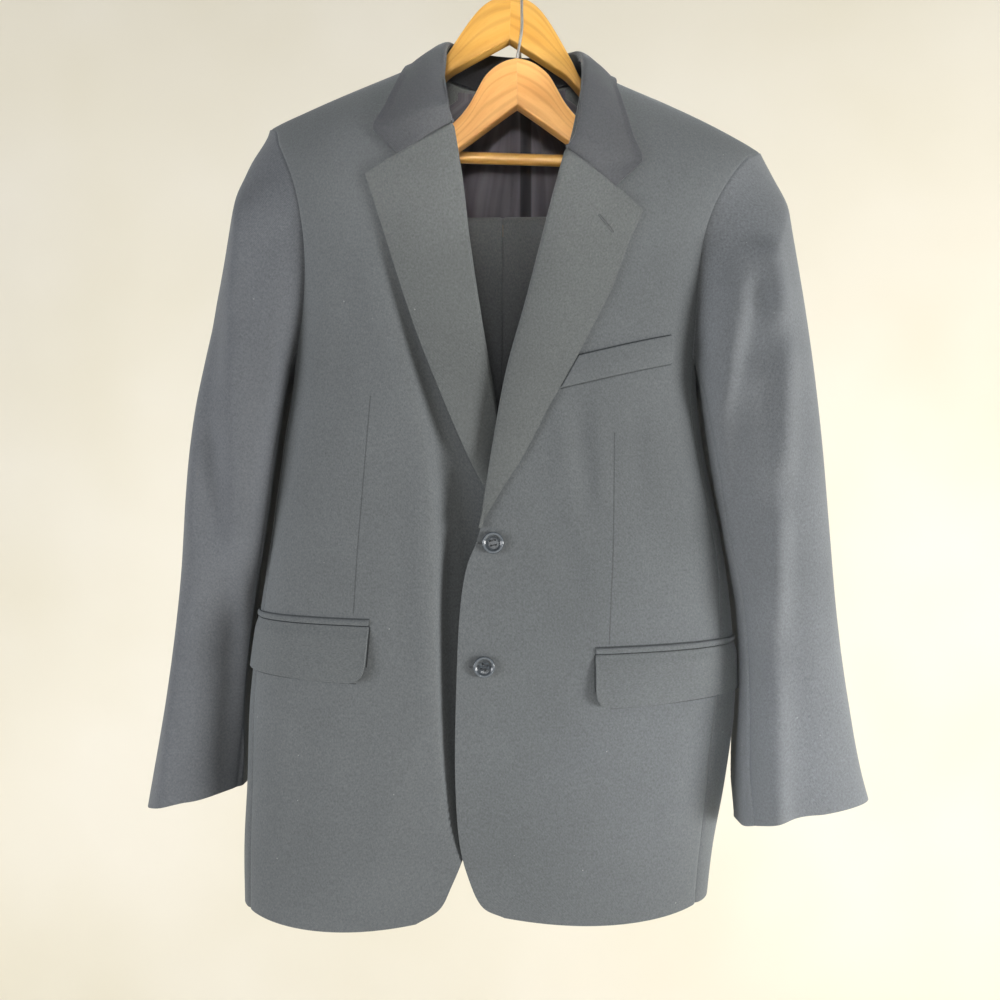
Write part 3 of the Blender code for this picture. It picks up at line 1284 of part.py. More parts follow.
def flat_tube_half(name, inner_radius, half):
    """One half of a flattened leg: its outer layer from the seam to the crease and back inside."""
    fold = LEG_THICKNESS / 2
    outer_rows, inner_rows = [], []
    for reach, y, z, out_y, out_z in leg_line(inner_radius):
        width = float(read(TROUSERS, "width", reach))
        middle = float(read(TROUSERS, "middle", reach))
        ends = width / 2 - fold
        flat = [SEAM_GAP / 2, ends * 0.35, ends * 0.70, ends]
        crease = (math.pi / 4, math.pi / 2, 3 * math.pi / 4)
        places = [(a, LEG_THICKNESS, 1.0, 0.0) for a in flat]
        places += [(ends, fold, math.cos(turn), math.sin(turn)) for turn in crease]
        places += [(a, 0.0, -1.0, 0.0) for a in flat[::-1]]
        for store, shrink in ((outer_rows, 0.0), (inner_rows, TROUSER_WALL)):
            row = []
            for along, height, up, side_way in places:
                if side_way:
                    spread = fold - shrink
                    a, h = along + spread * side_way, fold + spread * up
                else:
                    a, h = along, height - shrink * up
                x = middle + half * a
                row.append((x, y + out_y * h, z + out_z * h + bar_slope(x)))
            store.append(row)
    wall(name, np.array(outer_rows), np.array(inner_rows), "suiting")


def build_trousers():
    """Two legs pressed flat on their creases, one on the other, over the lower hanger's bar."""
    first = BAR_DIAMETER / 2 + BAR_REST
    second = first + LEG_THICKNESS + LEG_REST
    for name, radius in (("right", first), ("left", second)):
        for panel, half in (("front", 1), ("back", -1)):
            flat_tube_half(f"trouser_leg_{name}_{panel}", radius, half)


def build_waistband():
    """A flat band right round both legs' tops."""
    first = BAR_DIAMETER / 2 + BAR_REST
    radius = first + LEG_THICKNESS + LEG_REST / 2
    start = TROUSERS["reach"][-1]
    centre = bar_centre()
    half_width = float(TROUSERS["width"][-1]) / 2
    middle = float(TROUSERS["middle"][-1])
    top = centre.z - (start - first * math.pi / 2) - SEAM_GAP
    half_thick = LEG_THICKNESS
    outer, inner = [], []
    for fall in (0.0, WAISTBAND_HEIGHT / 2, WAISTBAND_HEIGHT):
        for store, shrink in ((outer, 0.0), (inner, TROUSER_WALL)):
            row = []
            for step in range(WAISTBAND_STEPS):
                angle = 2 * math.pi * step / WAISTBAND_STEPS
                across = math.copysign(abs(math.cos(angle)) ** WAISTBAND_FLATNESS, math.cos(angle))
                deep = math.sin(angle)
                x = middle + across * (half_width - shrink)
                y = centre.y + radius + deep * (half_thick - shrink)
                row.append((x, y, top - fall + bar_slope(x)))
            store.append(row)
    ring_wall("trouser_waistband", np.array(outer), np.array(inner), "suiting")


MATERIALS = {}


def main():
    for obj in list(bpy.data.objects):
        bpy.data.objects.remove(obj, do_unlink=True)
    MATERIALS.update(
        suiting=material("worsted wool twill", "#5d6163", 0.85),
        lining=material("satin lining", "#34323c", 0.45),
        button=material("polyester button", "#2b2e31", 0.30),
        wood_upper=material("lacquered maple", "#d9a855", 0.40),
        wood_lower=material("lacquered beech", "#dfa169", 0.40),
        steel=material("bright steel wire", "#b9bcc0", 0.25, 1.0),
    )
    grids = build_shell()
    build_lapels()
    build_collar()
    build_pockets()
    build_lining()
    build_front_buttons()
    build_cuff_buttons(grids)
    for name in HANGERS:
        for side in SIDE_NAMES:
            build_arm(name, side)
        build_bar(name)
    build_hooks()
    build_trousers()
    build_waistband()


main()
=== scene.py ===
"""Looks of the two-piece suit on its two wooden hangers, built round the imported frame.

Metres, +Z up. The front of the suit faces -Y, and +X is the wearer's left. "right" and "left" in
names are the wearer's. Each cloth piece is a thin wall on the garment's shared form.
"""

import math

import bpy
import numpy as np
from mathutils import Matrix, Vector

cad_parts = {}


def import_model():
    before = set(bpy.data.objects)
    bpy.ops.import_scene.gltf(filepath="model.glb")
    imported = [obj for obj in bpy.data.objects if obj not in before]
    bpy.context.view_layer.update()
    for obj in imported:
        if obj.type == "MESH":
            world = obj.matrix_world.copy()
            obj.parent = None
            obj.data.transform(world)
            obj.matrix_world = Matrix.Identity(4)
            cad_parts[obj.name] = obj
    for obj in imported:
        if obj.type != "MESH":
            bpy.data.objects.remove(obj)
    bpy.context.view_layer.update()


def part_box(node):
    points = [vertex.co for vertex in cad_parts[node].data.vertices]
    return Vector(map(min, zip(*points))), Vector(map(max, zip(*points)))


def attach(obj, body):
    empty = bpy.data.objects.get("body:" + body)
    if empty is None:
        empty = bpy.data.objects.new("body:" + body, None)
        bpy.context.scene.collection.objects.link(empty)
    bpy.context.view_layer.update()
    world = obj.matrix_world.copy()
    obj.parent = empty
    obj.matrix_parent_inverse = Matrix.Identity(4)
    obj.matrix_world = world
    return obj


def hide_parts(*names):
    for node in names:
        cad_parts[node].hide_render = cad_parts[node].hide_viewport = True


# ---------------------------------------------------------------- driving sizes
JACKET_WALL = 0.0024
FACING_WALL = 0.0020
LINING_WALL = 0.0010
TROUSER_WALL = 0.0012
BODY_SQUARENESS = 3.0
SLEEVE_SQUARENESS, SLEEVE_INNER_SQUARENESS = 2.3, 3.3
BACK_REACH = 0.100
ARM_CLEARANCE = 0.0065
FRONT_BUTTON_DIAMETER = 0.019
CUFF_BUTTON_DIAMETER = 0.015
HANGER_THICKNESS = 0.014
BAR_DIAMETER = 0.011
HOOK_WIRE = 0.0036
# Added to lengths that may be nothing before something is divided by them.
TINY = 1e-12
RIGHT, LEFT = -1, 1
SIDE_NAMES = {RIGHT: "right", LEFT: "left"}


def table(columns, *rows):
    """Named columns of a short table, a row for each section."""
    return dict(zip(columns.split(), np.array(rows, float).T))


def read(rows, column, at):
    """A column at any place along the table's first column, on a cubic through its rows."""
    x, y = next(iter(rows.values())), rows[column]
    slope = np.gradient(y, x)
    at = np.clip(at, x[0], x[-1])
    i = np.clip(np.searchsorted(x, at) - 1, 0, len(x) - 2)
    step = x[i + 1] - x[i]
    s = (at - x[i]) / step
    start = (1 + 2 * s) * (1 - s) ** 2 * y[i] + s * (1 - s) ** 2 * step * slope[i]
    return start + s * s * (3 - 2 * s) * y[i + 1] + s * s * (s - 1) * step * slope[i + 1]


def ease(t):
    t = np.clip(t, 0, 1)
    return t * t * (3 - 2 * t)


# ---------------------------------------------------------------- the jacket's form
# drop is the distance below the hook's inside top. right and left are the body's widest
# places, front and back its depth each way from the shoulder seam's plane.
BODY = table(
    "drop right left front back",
    (0.090, -0.262, 0.262, 0.080, 0.050),
    (0.190, -0.256, 0.258, 0.084, 0.052),
    (0.250, -0.238, 0.232, 0.086, 0.054),
    (0.310, -0.217, 0.193, 0.087, 0.055),
    (0.370, -0.212, 0.181, 0.088, 0.055),
    (0.430, -0.212, 0.172, 0.088, 0.055),
    (0.500, -0.222, 0.178, 0.089, 0.054),
    (0.580, -0.233, 0.194, 0.090, 0.053),
    (0.660, -0.245, 0.205, 0.090, 0.052),
    (0.740, -0.2545, 0.209, 0.089, 0.051),
    (0.820, -0.2575, 0.1995, 0.087, 0.050),
    (0.880, -0.2605, 0.1885, 0.085, 0.049),
    (0.940, -0.2600, 0.1815, 0.083, 0.048),
)
# The line of the shoulder seams, and how far below it the front reaches its full depth.
SHOULDER = table(
    "x drop reach",
    (-0.262, 0.206, 0.100),
    (-0.240, 0.1945, 0.105),
    (-0.200, 0.1780, 0.110),
    (-0.160, 0.1615, 0.118),
    (-0.120, 0.1445, 0.140),
    (-0.082, 0.1275, 0.170),
    (0.000, 0.0950, 0.180),
    (0.072, 0.1385, 0.170),
    (0.100, 0.1520, 0.155),
    (0.140, 0.1700, 0.128),
    (0.180, 0.1885, 0.112),
    (0.2385, 0.2165, 0.105),
    (0.262, 0.228, 0.100),
)
# The fronts, section by section from the shoulder seam to the hem. edge is on the roll line
# and then the front edge; seam is on the armhole and then the side seam.
FRONT = {
    RIGHT: table(
        "section edge_x edge_drop seam_x seam_drop",
        (0, -0.0820, 0.1275, -0.2400, 0.1945),
        (1, -0.0705, 0.1560, -0.2227, 0.2231),
        (2, -0.0630, 0.1950, -0.2050, 0.2650),
        (3, -0.0560, 0.2350, -0.1975, 0.3050),
        (4, -0.0500, 0.2750, -0.1955, 0.3450),
        (5, -0.0440, 0.3250, -0.1985, 0.3830),
        (6, -0.0350, 0.3850, -0.2050, 0.4150),
        (7, -0.0240, 0.4500, -0.2120, 0.4700),
        (8, -0.0125, 0.5200, -0.2200, 0.5300),
        (9, -0.0005, 0.5850, -0.2275, 0.5900),
        (10, 0.0018, 0.6220, -0.2315, 0.6240),
        (11, 0.0018, 0.6600, -0.2360, 0.6600),
        (12, -0.0020, 0.7300, -0.2435, 0.7300),
        (13, -0.0145, 0.7950, -0.2450, 0.8000),
        (14, -0.0395, 0.8500, -0.2465, 0.8600),
        (15, -0.0573, 0.8920, -0.2472, 0.9000),
        (16, -0.0690, 0.9150, -0.2475, 0.9200),
        (17, -0.0900, 0.9285, -0.2475, 0.9320),
    ),
    LEFT: table(
        "section edge_x edge_drop seam_x seam_drop",
        (0, 0.0720, 0.1385, 0.2385, 0.2165),
        (1, 0.0625, 0.1600, 0.2200, 0.2300),
        (2, 0.0552, 0.1950, 0.1975, 0.2570),
        (3, 0.0480, 0.2280, 0.1790, 0.2895),
        (4, 0.0385, 0.2620, 0.1700, 0.3250),
        (5, 0.0255, 0.3120, 0.1665, 0.3720),
        (6, 0.0095, 0.3750, 0.1640, 0.4200),
        (7, -0.0085, 0.4400, 0.1615, 0.4750),
        (8, -0.0205, 0.5050, 0.1695, 0.5300),
        (9, -0.0327, 0.5780, 0.1830, 0.5950),
        (10, -0.0455, 0.6150, 0.1865, 0.6280),
        (11, -0.0515, 0.6600, 0.1860, 0.6600),
        (12, -0.0545, 0.7350, 0.1825, 0.7300),
        (13, -0.0550, 0.8000, 0.1745, 0.7950),
        (14, -0.0515, 0.8550, 0.1695, 0.8500),
        (15, -0.0425, 0.8900, 0.1660, 0.8900),
        (16, -0.0310, 0.9130, 0.1645, 0.9120),
        (17, -0.0120, 0.9225, 0.1640, 0.9245),
    ),
}
# The backs, by the same sections. The centre seam is shared by both.
BACK_SEAM = {
    RIGHT: table(
        "section x drop",
        (0, -0.2400, 0.1945),
        (1, -0.2290, 0.2250),
        (2, -0.2170, 0.2600),
        (3, -0.2080, 0.3000),
        (4, -0.2030, 0.3400),
        (5, -0.2010, 0.3760),
        (6, -0.2030, 0.4080),
        (8, -0.2170, 0.5250),
        (9, -0.2240, 0.5870),
        (11, -0.2340, 0.6600),
        (13, -0.2450, 0.8000),
        (15, -0.2490, 0.9000),
        (17, -0.2490, 0.9350),
    ),
    LEFT: table(
        "section x drop",
        (0, 0.2385, 0.2165),
        (1, 0.2250, 0.2400),
        (2, 0.2080, 0.2680),
        (3, 0.1900, 0.2990),
        (4, 0.1790, 0.3350),
        (5, 0.1710, 0.3760),
        (6, 0.1650, 0.4150),
        (8, 0.1700, 0.5250),
        (9, 0.1800, 0.5900),
        (11, 0.1900, 0.6600),
        (13, 0.1850, 0.8000),
        (15, 0.1750, 0.8950),
        (17, 0.1715, 0.9300),
    ),
}
CENTRE_BACK = table(
    "section x drop",
    (0, -0.003, 0.1365),
    (3, -0.008, 0.2500),
    (6, -0.014, 0.4000),
    (9, -0.018, 0.5850),
    (13, -0.024, 0.8000),
    (17, -0.030, 0.9215),
)
# The under front bends back along this line, to pass beneath the other one.
TUCK = table(
    "drop x depth width",
    (0.270, -0.1370, 0.0000, 0.022),
    (0.330, -0.1300, 0.0035, 0.022),
    (0.400, -0.1130, 0.0085, 0.022),
    (0.475, -0.0940, 0.0140, 0.022),
    (0.545, -0.0805, 0.0190, 0.021),
    (0.600, -0.0765, 0.0210, 0.018),
    (0.660, -0.0755, 0.0210, 0.016),
    (0.740, -0.0725, 0.0205, 0.015),
    (0.800, -0.0680, 0.0185, 0.014),
    (0.840, -0.0620, 0.0180, 0.013),
    (0.880, -0.0500, 0.0140, 0.014),
    (0.940, -0.0480, 0.0080, 0.020),
)
# Soft troughs (depth above 0) and ridges (below 0) of the body's front, from end to end.
BODY_FOLDS = table(
    "x drop end_x end_drop depth width",
    (-0.1420, 0.330, -0.1010, 0.475, -0.0024, 0.012),
    (-0.0880, 0.530, -0.0790, 0.740, -0.0024, 0.012),
    (0.0035, 0.505, 0.0595, 0.645, 0.0024, 0.013),
    (0.0341, 0.470, 0.0446, 0.536, -0.0016, 0.008),
    (0.0520, 0.466, 0.0640, 0.570, 0.0017, 0.008),
    (0.0700, 0.462, 0.0752, 0.554, -0.0016, 0.008),
    (0.1050, 0.466, 0.1110, 0.571, 0.0017, 0.010),
    (-0.1500, 0.360, -0.1650, 0.480, 0.0018, 0.016),
    (-0.0218, 0.710, 0.0595, 0.781, 0.0024, 0.020),
    (0.0200, 0.800, 0.1100, 0.880, -0.0022, 0.022),
    (-0.1100, 0.760, -0.1200, 0.900, -0.0020, 0.022),
    (-0.1850, 0.700, -0.2000, 0.900, 0.0018, 0.018),
    (0.1400, 0.760, 0.1450, 0.900, -0.0020, 0.018),
)
# The same on the back, seen from behind: it hangs in long soft folds from the shoulder blades.
BACK_FOLDS = table(
    "x drop end_x end_drop depth width",
    (-0.1600, 0.260, -0.1400, 0.470, -0.0030, 0.022),
    (-0.1050, 0.330, -0.1150, 0.560, 0.0026, 0.018),
    (-0.0650, 0.480, -0.0800, 0.860, -0.0028, 0.024),
    (-0.1650, 0.560, -0.1800, 0.900, 0.0026, 0.020),
    (-0.0250, 0.200, -0.0150, 0.330, 0.0020, 0.018),
    (0.1350, 0.270, 0.1200, 0.450, -0.0028, 0.020),
    (0.0850, 0.360, 0.0900, 0.620, 0.0026, 0.018),
    (0.0450, 0.500, 0.0550, 0.880, -0.0028, 0.024),
    (0.1250, 0.580, 0.1300, 0.880, 0.0024, 0.018),
)


def side_share(x, drop):
    """0 on the body's middle line, 1 at its widest."""
    right, left = read(BODY, "right", drop), read(BODY, "left", drop)
    return np.clip(np.abs((x - (left + right) / 2) / ((left - right) / 2)), 0, 1)


def rise(x, drop, reach):
    """0 on the shoulder line, 1 from reach below it, on a quarter of an ellipse."""
    below = np.clip(drop - read(SHOULDER, "drop", x), 0, reach)
    return np.sqrt(np.clip(1 - (1 - below / reach) ** 2, 0, 1))


def roundness(x, drop):
    return (1 - side_share(x, drop) ** BODY_SQUARENESS) ** (1 / BODY_SQUARENESS)


def fold_relief(folds, x, drop):
    """How far the folds push the cloth in, each a soft trough or ridge that fades at its ends."""
    relief = np.zeros(np.broadcast(x, drop).shape)
    for x0, d0, x1, d1, depth, width in zip(*folds.values()):
        length = math.hypot(x1 - x0, d1 - d0)
        along = ((x - x0) * (x1 - x0) + (drop - d0) * (d1 - d0)) / length**2
        across = ((x - x0) * (d1 - d0) - (drop - d0) * (x1 - x0)) / length
        ends = ease((along + 0.15) / 0.4) * ease((1.15 - along) / 0.4)
        relief = relief + depth * ends * np.exp(-((across / width) ** 2))
    return relief


def tuck_depth(x, drop):
    """How far the under front has bent back, to pass beneath the other one."""
    return read(TUCK, "depth", drop) * ease((x - read(TUCK, "x", drop)) / read(TUCK, "width", drop))


def front_y(x, drop, side):
    """The outer face of the jacket's front."""
    full = rise(x, drop, read(SHOULDER, "reach", x)) * roundness(x, drop)
    y = -read(BODY, "front", drop) * full + fold_relief(BODY_FOLDS, x, drop) * full
    return y + tuck_depth(x, drop) if side == RIGHT else y


def back_y(x, drop):
    """The outer face of the jacket's back."""
    full = rise(x, drop, BACK_REACH) * roundness(x, drop)
    return (read(BODY, "back", drop) - fold_relief(BACK_FOLDS, x, drop)) * full


def outline_x(y, drop, side):
    """The body's width at a depth, below the armholes."""
    right, left = read(BODY, "right", drop), read(BODY, "left", drop)
    depth = np.where(y < 0, read(BODY, "front", drop), read(BODY, "back", drop))
    share = np.clip(np.abs(y) / depth, 0, 1)
    half = (left - right) / 2 * (1 - share**BODY_SQUARENESS) ** (1 / BODY_SQUARENESS)
    return (left + right) / 2 + side * half


def section_point(x, drop, front):
    """The turn round the body's side, as an angle from its widest place."""
    share = np.clip(side_share(x, drop), 0, 1)
    angle = math.acos(min(1.0, float(share) ** (BODY_SQUARENESS / 2)))
    return angle if front else -angle


def around(side, angle, drop):
    """A point of the body's outer face below the armholes, by its angle round the side."""
    right, left = (read(BODY, c, drop) for c in ("right", "left"))
    cosine = np.abs(np.cos(angle)) ** (2 / BODY_SQUARENESS)
    sine = np.abs(np.sin(angle)) ** (2 / BODY_SQUARENESS)
    depth = np.where(angle > 0, -read(BODY, "front", drop), read(BODY, "back", drop))
    x = (left + right) / 2 + side * (left - right) / 2 * cosine
    ahead, behind = fold_relief(BODY_FOLDS, x, drop), -fold_relief(BACK_FOLDS, x, drop)
    relief = np.where(angle > 0, ahead, behind) * sine
    return np.stack([x, depth * sine + relief, -drop + 0 * x], -1)


# ---------------------------------------------------------------- the panels' grids
# The shoulder's rows, by section, down to the armhole's lowest point. The sleeve's ring round
# the armhole is counted in their steps.
SHOULDER_ROWS = (0, 0.06, 0.22, 0.5, 0.95, 1.7, 2.6, 3.6, 4.8, 6)
ARMHOLE_ROW = len(SHOULDER_ROWS) - 1
NECK_COLUMNS = 16
SIDE_COLUMNS = 4
WHOLE_RING = 2 * ARMHOLE_ROW + SIDE_COLUMNS
# The hem bows down between its seams, from one section over the next few.
HEM_BOW, HEM_BOW_FROM, HEM_BOW_OVER = 0.008, 12, 5
LEAST_FALL = 0.024
# The side panel's top bows down under the arm, over the first sections below the armhole.
UNDERARM_BOW, UNDERARM_SECTION, UNDERARM_OVER = 0.020, 6, 3
# The back's sections follow the shoulder line at the top, and level out by this section.
BACK_LEVEL_SECTION = 5


def front_grid(side, rows, columns):
    """A front from its roll line and edge (first column) to the armhole and side seam (last)."""
    v, u = np.meshgrid(rows, columns, indexing="ij")
    edge_x, edge_drop, seam_x, seam_drop = (read(FRONT[side], c, v) for c in list(FRONT[side])[1:])
    x = edge_x + (seam_x - edge_x) * u
    drop = edge_drop + (seam_drop - edge_drop) * u
    drop = drop + HEM_BOW * 4 * u * (1 - u) * ease((v - HEM_BOW_FROM) / HEM_BOW_OVER)
    drop = drop + (read(SHOULDER, "drop", x) - drop) * np.clip(1 - v, 0, 1)
    drop = np.maximum(drop, read(SHOULDER, "drop", x) + LEAST_FALL * np.minimum(v, 1))
    y = front_y(x, drop, side)
    return np.stack([np.broadcast_to(x, y.shape), y, -drop], -1)


def neck_drop(x, neck_x, neck_point_drop):
    """The back neck seam, from a shoulder's neck point to the centre back."""
    centre_x, centre = CENTRE_BACK["x"][0], CENTRE_BACK["drop"][0]
    return centre + (neck_point_drop - centre) * np.abs((x - centre_x) / (neck_x - centre_x)) ** 3


def back_grid(side, rows, shoulder_columns):
    """A back from the armhole and side seam (first column) to the centre seam (last)."""
    front = FRONT[side]
    neck_x, tip_x = front["edge_x"][0], front["seam_x"][0]
    centre_x = CENTRE_BACK["x"][0]
    top_x = tip_x + (neck_x - tip_x) * (1 - shoulder_columns[::-1])
    neck_shares = np.linspace(0, 1, NECK_COLUMNS + 1)[1:]
    top_x = np.append(top_x, neck_x + (centre_x - neck_x) * neck_shares)
    share = (top_x - tip_x) / (centre_x - tip_x)
    past_neck = (top_x - neck_x) * side < -1e-9
    on_neck = neck_drop(top_x, neck_x, front["edge_drop"][0])
    top = np.where(past_neck, on_neck, read(SHOULDER, "drop", top_x))
    v, u = np.meshgrid(rows, share, indexing="ij")
    seam_x, seam_drop = (read(BACK_SEAM[side], c, v) for c in ("x", "drop"))
    middle_x, middle_drop = (read(CENTRE_BACK, c, v) for c in ("x", "drop"))
    x = seam_x + (middle_x - seam_x) * u
    drop = seam_drop + (middle_drop - seam_drop) * u
    lift = top - (seam_drop[0] + (middle_drop[0] - seam_drop[0]) * share)
    drop = drop + lift * np.clip(1 - v / BACK_LEVEL_SECTION, 0, 1) ** 2
    return np.stack([x, back_y(x, drop), -drop], -1)


def side_grid(side, rows, columns):
    """A side panel from the front's seam (first column) to the back's (last)."""
    points = np.empty((len(rows), columns + 1, 3))
    for i, v in enumerate(rows):
        front_x, front_drop = (float(read(FRONT[side], c, v)) for c in ("seam_x", "seam_drop"))
        back_x, back_drop = (float(read(BACK_SEAM[side], c, v)) for c in ("x", "drop"))
        start = section_point(front_x, front_drop, True)
        end = section_point(back_x, back_drop, False)
        for j, u in enumerate(np.linspace(0, 1, columns + 1)):
            drop = front_drop + (back_drop - front_drop) * u
            near_arm = float(np.clip(1 - (v - UNDERARM_SECTION) / UNDERARM_OVER, 0, 1))
            drop += UNDERARM_BOW * 4 * u * (1 - u) * near_arm**2
            points[i, j] = around(side, start + (end - start) * u, drop)
    points[:, 0] = front_grid(side, rows, np.array([1.0]))[:, 0]
    points[:, -1] = back_grid(side, rows, np.array([0.0, 1.0]))[:, 0]
    return points


# ---------------------------------------------------------------- sleeves
# By distance below the hook: outer and inner edges seen from the front, the middle's place
# from the shoulder plane, and half the depth from front to back.
SLEEVE = {
    RIGHT: table(
        "drop outer inner middle half_depth",
        (0.200, -0.2500, -0.1964, 0.000, 0.045),
        (0.220, -0.2600, -0.1964, 0.000, 0.050),
        (0.250, -0.2640, -0.1964, 0.000, 0.057),
        (0.300, -0.2725, -0.1964, 0.000, 0.064),
        (0.360, -0.2835, -0.1975, -0.001, 0.068),
        (0.430, -0.2975, -0.2083, -0.002, 0.069),
        (0.500, -0.3084, -0.2190, -0.004, 0.066),
        (0.580, -0.3165, -0.2298, -0.003, 0.060),
        (0.660, -0.3245, -0.2434, 0.002, 0.053),
        (0.740, -0.3377, -0.2536, 0.006, 0.049),
        (0.800, -0.3493, -0.2612, 0.006, 0.046),
        (0.850, -0.3579, -0.2654, 0.004, 0.044),
    ),
    LEFT: table(
        "drop outer inner middle half_depth",
        (0.200, 0.2440, 0.1702, 0.000, 0.043),
        (0.220, 0.2530, 0.1702, 0.000, 0.045),
        (0.250, 0.2575, 0.1702, 0.000, 0.055),
        (0.300, 0.2608, 0.1684, -0.008, 0.064),
        (0.360, 0.2687, 0.1661, -0.013, 0.068),
        (0.430, 0.2782, 0.1663, -0.016, 0.069),
        (0.500, 0.2858, 0.1740, -0.018, 0.067),
        (0.580, 0.2922, 0.1869, -0.020, 0.063),
        (0.660, 0.2982, 0.2026, -0.023, 0.059),
        (0.740, 0.3075, 0.2045, -0.030, 0.054),
        (0.800, 0.3160, 0.2030, -0.039, 0.050),
        (0.850, 0.3280, 0.2050, -0.046, 0.047),
    ),
}
# The cuff's edge: its middle's drop, and how much lower its inner and its front sides are.
CUFF = {RIGHT: (0.8406, -0.0104, -0.004), LEFT: (0.8400, 0.0115, -0.011)}
# Shares of the sleeve's length: where its cap has left the armhole's ring, where its rings are
# evenly spaced, and where it has its full clearance from the body.
CAP_SHARE, EVEN_SHARE, CLEAR_SHARE = 0.10, 0.3, 0.05
# The clearance is held from this drop down, starting softly.
CLEAR_DROP, CLEAR_EASE = 0.385, 0.03
# How fast the folds of a sleeve's front and back begin, round from its sides.
FOLD_TURN = 1.6
UNDERARM_GAP = 0.0005
# Troughs and ridges of the sleeves' fronts, as on the body.
SLEEVE_FOLDS = {
    RIGHT: table(
        "x drop end_x end_drop depth width",
        (-0.2600, 0.262, -0.2560, 0.385, -0.0060, 0.012),
        (-0.2740, 0.380, -0.2790, 0.470, 0.0070, 0.012),
        (-0.2520, 0.400, -0.2520, 0.560, -0.0045, 0.012),
        (-0.2790, 0.470, -0.2740, 0.600, 0.0090, 0.014),
        (-0.2680, 0.620, -0.2780, 0.860, 0.0170, 0.022),
        (-0.3000, 0.430, -0.3060, 0.600, -0.0040, 0.012),
        (-0.3160, 0.610, -0.3350, 0.860, -0.0060, 0.012),
    ),
    LEFT: table(
        "x drop end_x end_drop depth width",
        (0.2290, 0.262, 0.2260, 0.315, -0.0040, 0.010),
        (0.2250, 0.318, 0.2360, 0.400, -0.0080, 0.012),
        (0.2380, 0.410, 0.2310, 0.545, -0.0092, 0.012),
        (0.2300, 0.550, 0.2270, 0.680, -0.0096, 0.012),
        (0.2260, 0.690, 0.2250, 0.860, -0.0100, 0.013),
        (0.2180, 0.345, 0.1980, 0.450, 0.0048, 0.013),
        (0.1950, 0.460, 0.1980, 0.600, 0.0060, 0.012),
        (0.2020, 0.630, 0.2060, 0.850, 0.0080, 0.010),
        (0.2030, 0.365, 0.1800, 0.480, -0.0040, 0.009),
    ),
}
# The same on the sleeves' backs.
SLEEVE_BACK_FOLDS = {
    RIGHT: table(
        "x drop end_x end_drop depth width",
        (-0.2500, 0.280, -0.2640, 0.420, -0.0035, 0.012),
        (-0.2620, 0.430, -0.2850, 0.560, 0.0045, 0.011),
        (-0.2880, 0.560, -0.2820, 0.740, -0.0035, 0.013),
        (-0.2600, 0.620, -0.2700, 0.800, 0.0030, 0.012),
    ),
    LEFT: table(
        "x drop end_x end_drop depth width",
        (0.2300, 0.290, 0.2430, 0.400, 0.0032, 0.012),
        (0.2400, 0.420, 0.2600, 0.540, -0.0042, 0.012),
        (0.2300, 0.520, 0.2450, 0.680, 0.0045, 0.012),
        (0.2650, 0.660, 0.2700, 0.820, -0.0032, 0.013),
    ),
}


def sleeve_grid(side, ring, rows, even):
    """A sleeve from the armhole's ring (first row) to the cuff, a closed ring in each row."""
    steps = np.linalg.norm(np.roll(ring, -1, 0) - ring, axis=1)
    at_armhole = 2 * np.pi * np.concatenate([[0], np.cumsum(steps)[:-1]]) / steps.sum()
    middle_drop, inner_more, front_more = CUFF[side]
    points = np.empty((len(rows), len(ring), 3))
    for i, s in enumerate(rows):
        turn = at_armhole + (even - at_armhole) * ease(s / EVEN_SHARE)
        cuff = middle_drop - inner_more * np.cos(turn) + front_more * np.sin(turn)
        drop = -ring[:, 2] * (1 - s) + cuff * s
        outer, inner, middle, depth = (read(SLEEVE[side], c, drop) for c in list(SLEEVE[side])[1:])
        cosine, sine = np.cos(turn), np.sin(turn)
        power = 2 / np.where(cosine > 0, SLEEVE_SQUARENESS, SLEEVE_INNER_SQUARENESS)
        x = (outer + inner) / 2 + (outer - inner) / 2 * np.sign(cosine) * np.abs(cosine) ** power
        y = middle - depth * np.sign(sine) * np.abs(sine) ** power
        y = y + fold_relief(SLEEVE_FOLDS[side], x, drop) * ease(sine * FOLD_TURN)
        y = y - fold_relief(SLEEVE_BACK_FOLDS[side], x, drop) * ease(-sine * FOLD_TURN)
        share = 1 - (1 - min(1.0, s / CAP_SHARE)) ** 2
        x = ring[:, 0] + (x - ring[:, 0]) * share
        y = ring[:, 1] + (y - ring[:, 1]) * share
        gap = ARM_CLEARANCE * min(1.0, s / CLEAR_SHARE)
        nearest = outline_x(y, drop, side) + side * gap
        pushed = np.where((x - nearest) * side < 0, nearest, x)
        x = x + (pushed - x) * ease((drop - CLEAR_DROP) / CLEAR_EASE)
        points[i] = np.stack([x, y, -drop], -1)
    points[0] = ring
    under_arm = (even / (2 * np.pi) * WHOLE_RING - ARMHOLE_ROW) / SIDE_COLUMNS
    points[0, :, 0] += side * UNDERARM_GAP * np.sin(np.pi * np.clip(under_arm, 0, 1))
    return points


def unit(vectors):
    return vectors / (np.linalg.norm(vectors, axis=-1, keepdims=True) + TINY)


def front_normal(x, drop, side, step=0.001):
    """The outward normal of a front, from its slopes."""
    slope_x = (front_y(x + step, drop, side) - front_y(x - step, drop, side)) / (2 * step)
    slope_z = -(front_y(x, drop + step, side) - front_y(x, drop - step, side)) / (2 * step)
    found = np.stack([slope_x, -np.ones_like(slope_x), slope_z], -1)
    return found / np.linalg.norm(found, axis=-1, keepdims=True)


def on_front(x, drop, side, out):
    """Points a distance out from a front's face."""
    x, drop = np.broadcast_arrays(np.asarray(x, float), np.asarray(drop, float))
    face = np.stack([x, front_y(x, drop, side), -drop], -1)
    return face + front_normal(x, drop, side) * np.asarray(out)[..., None]


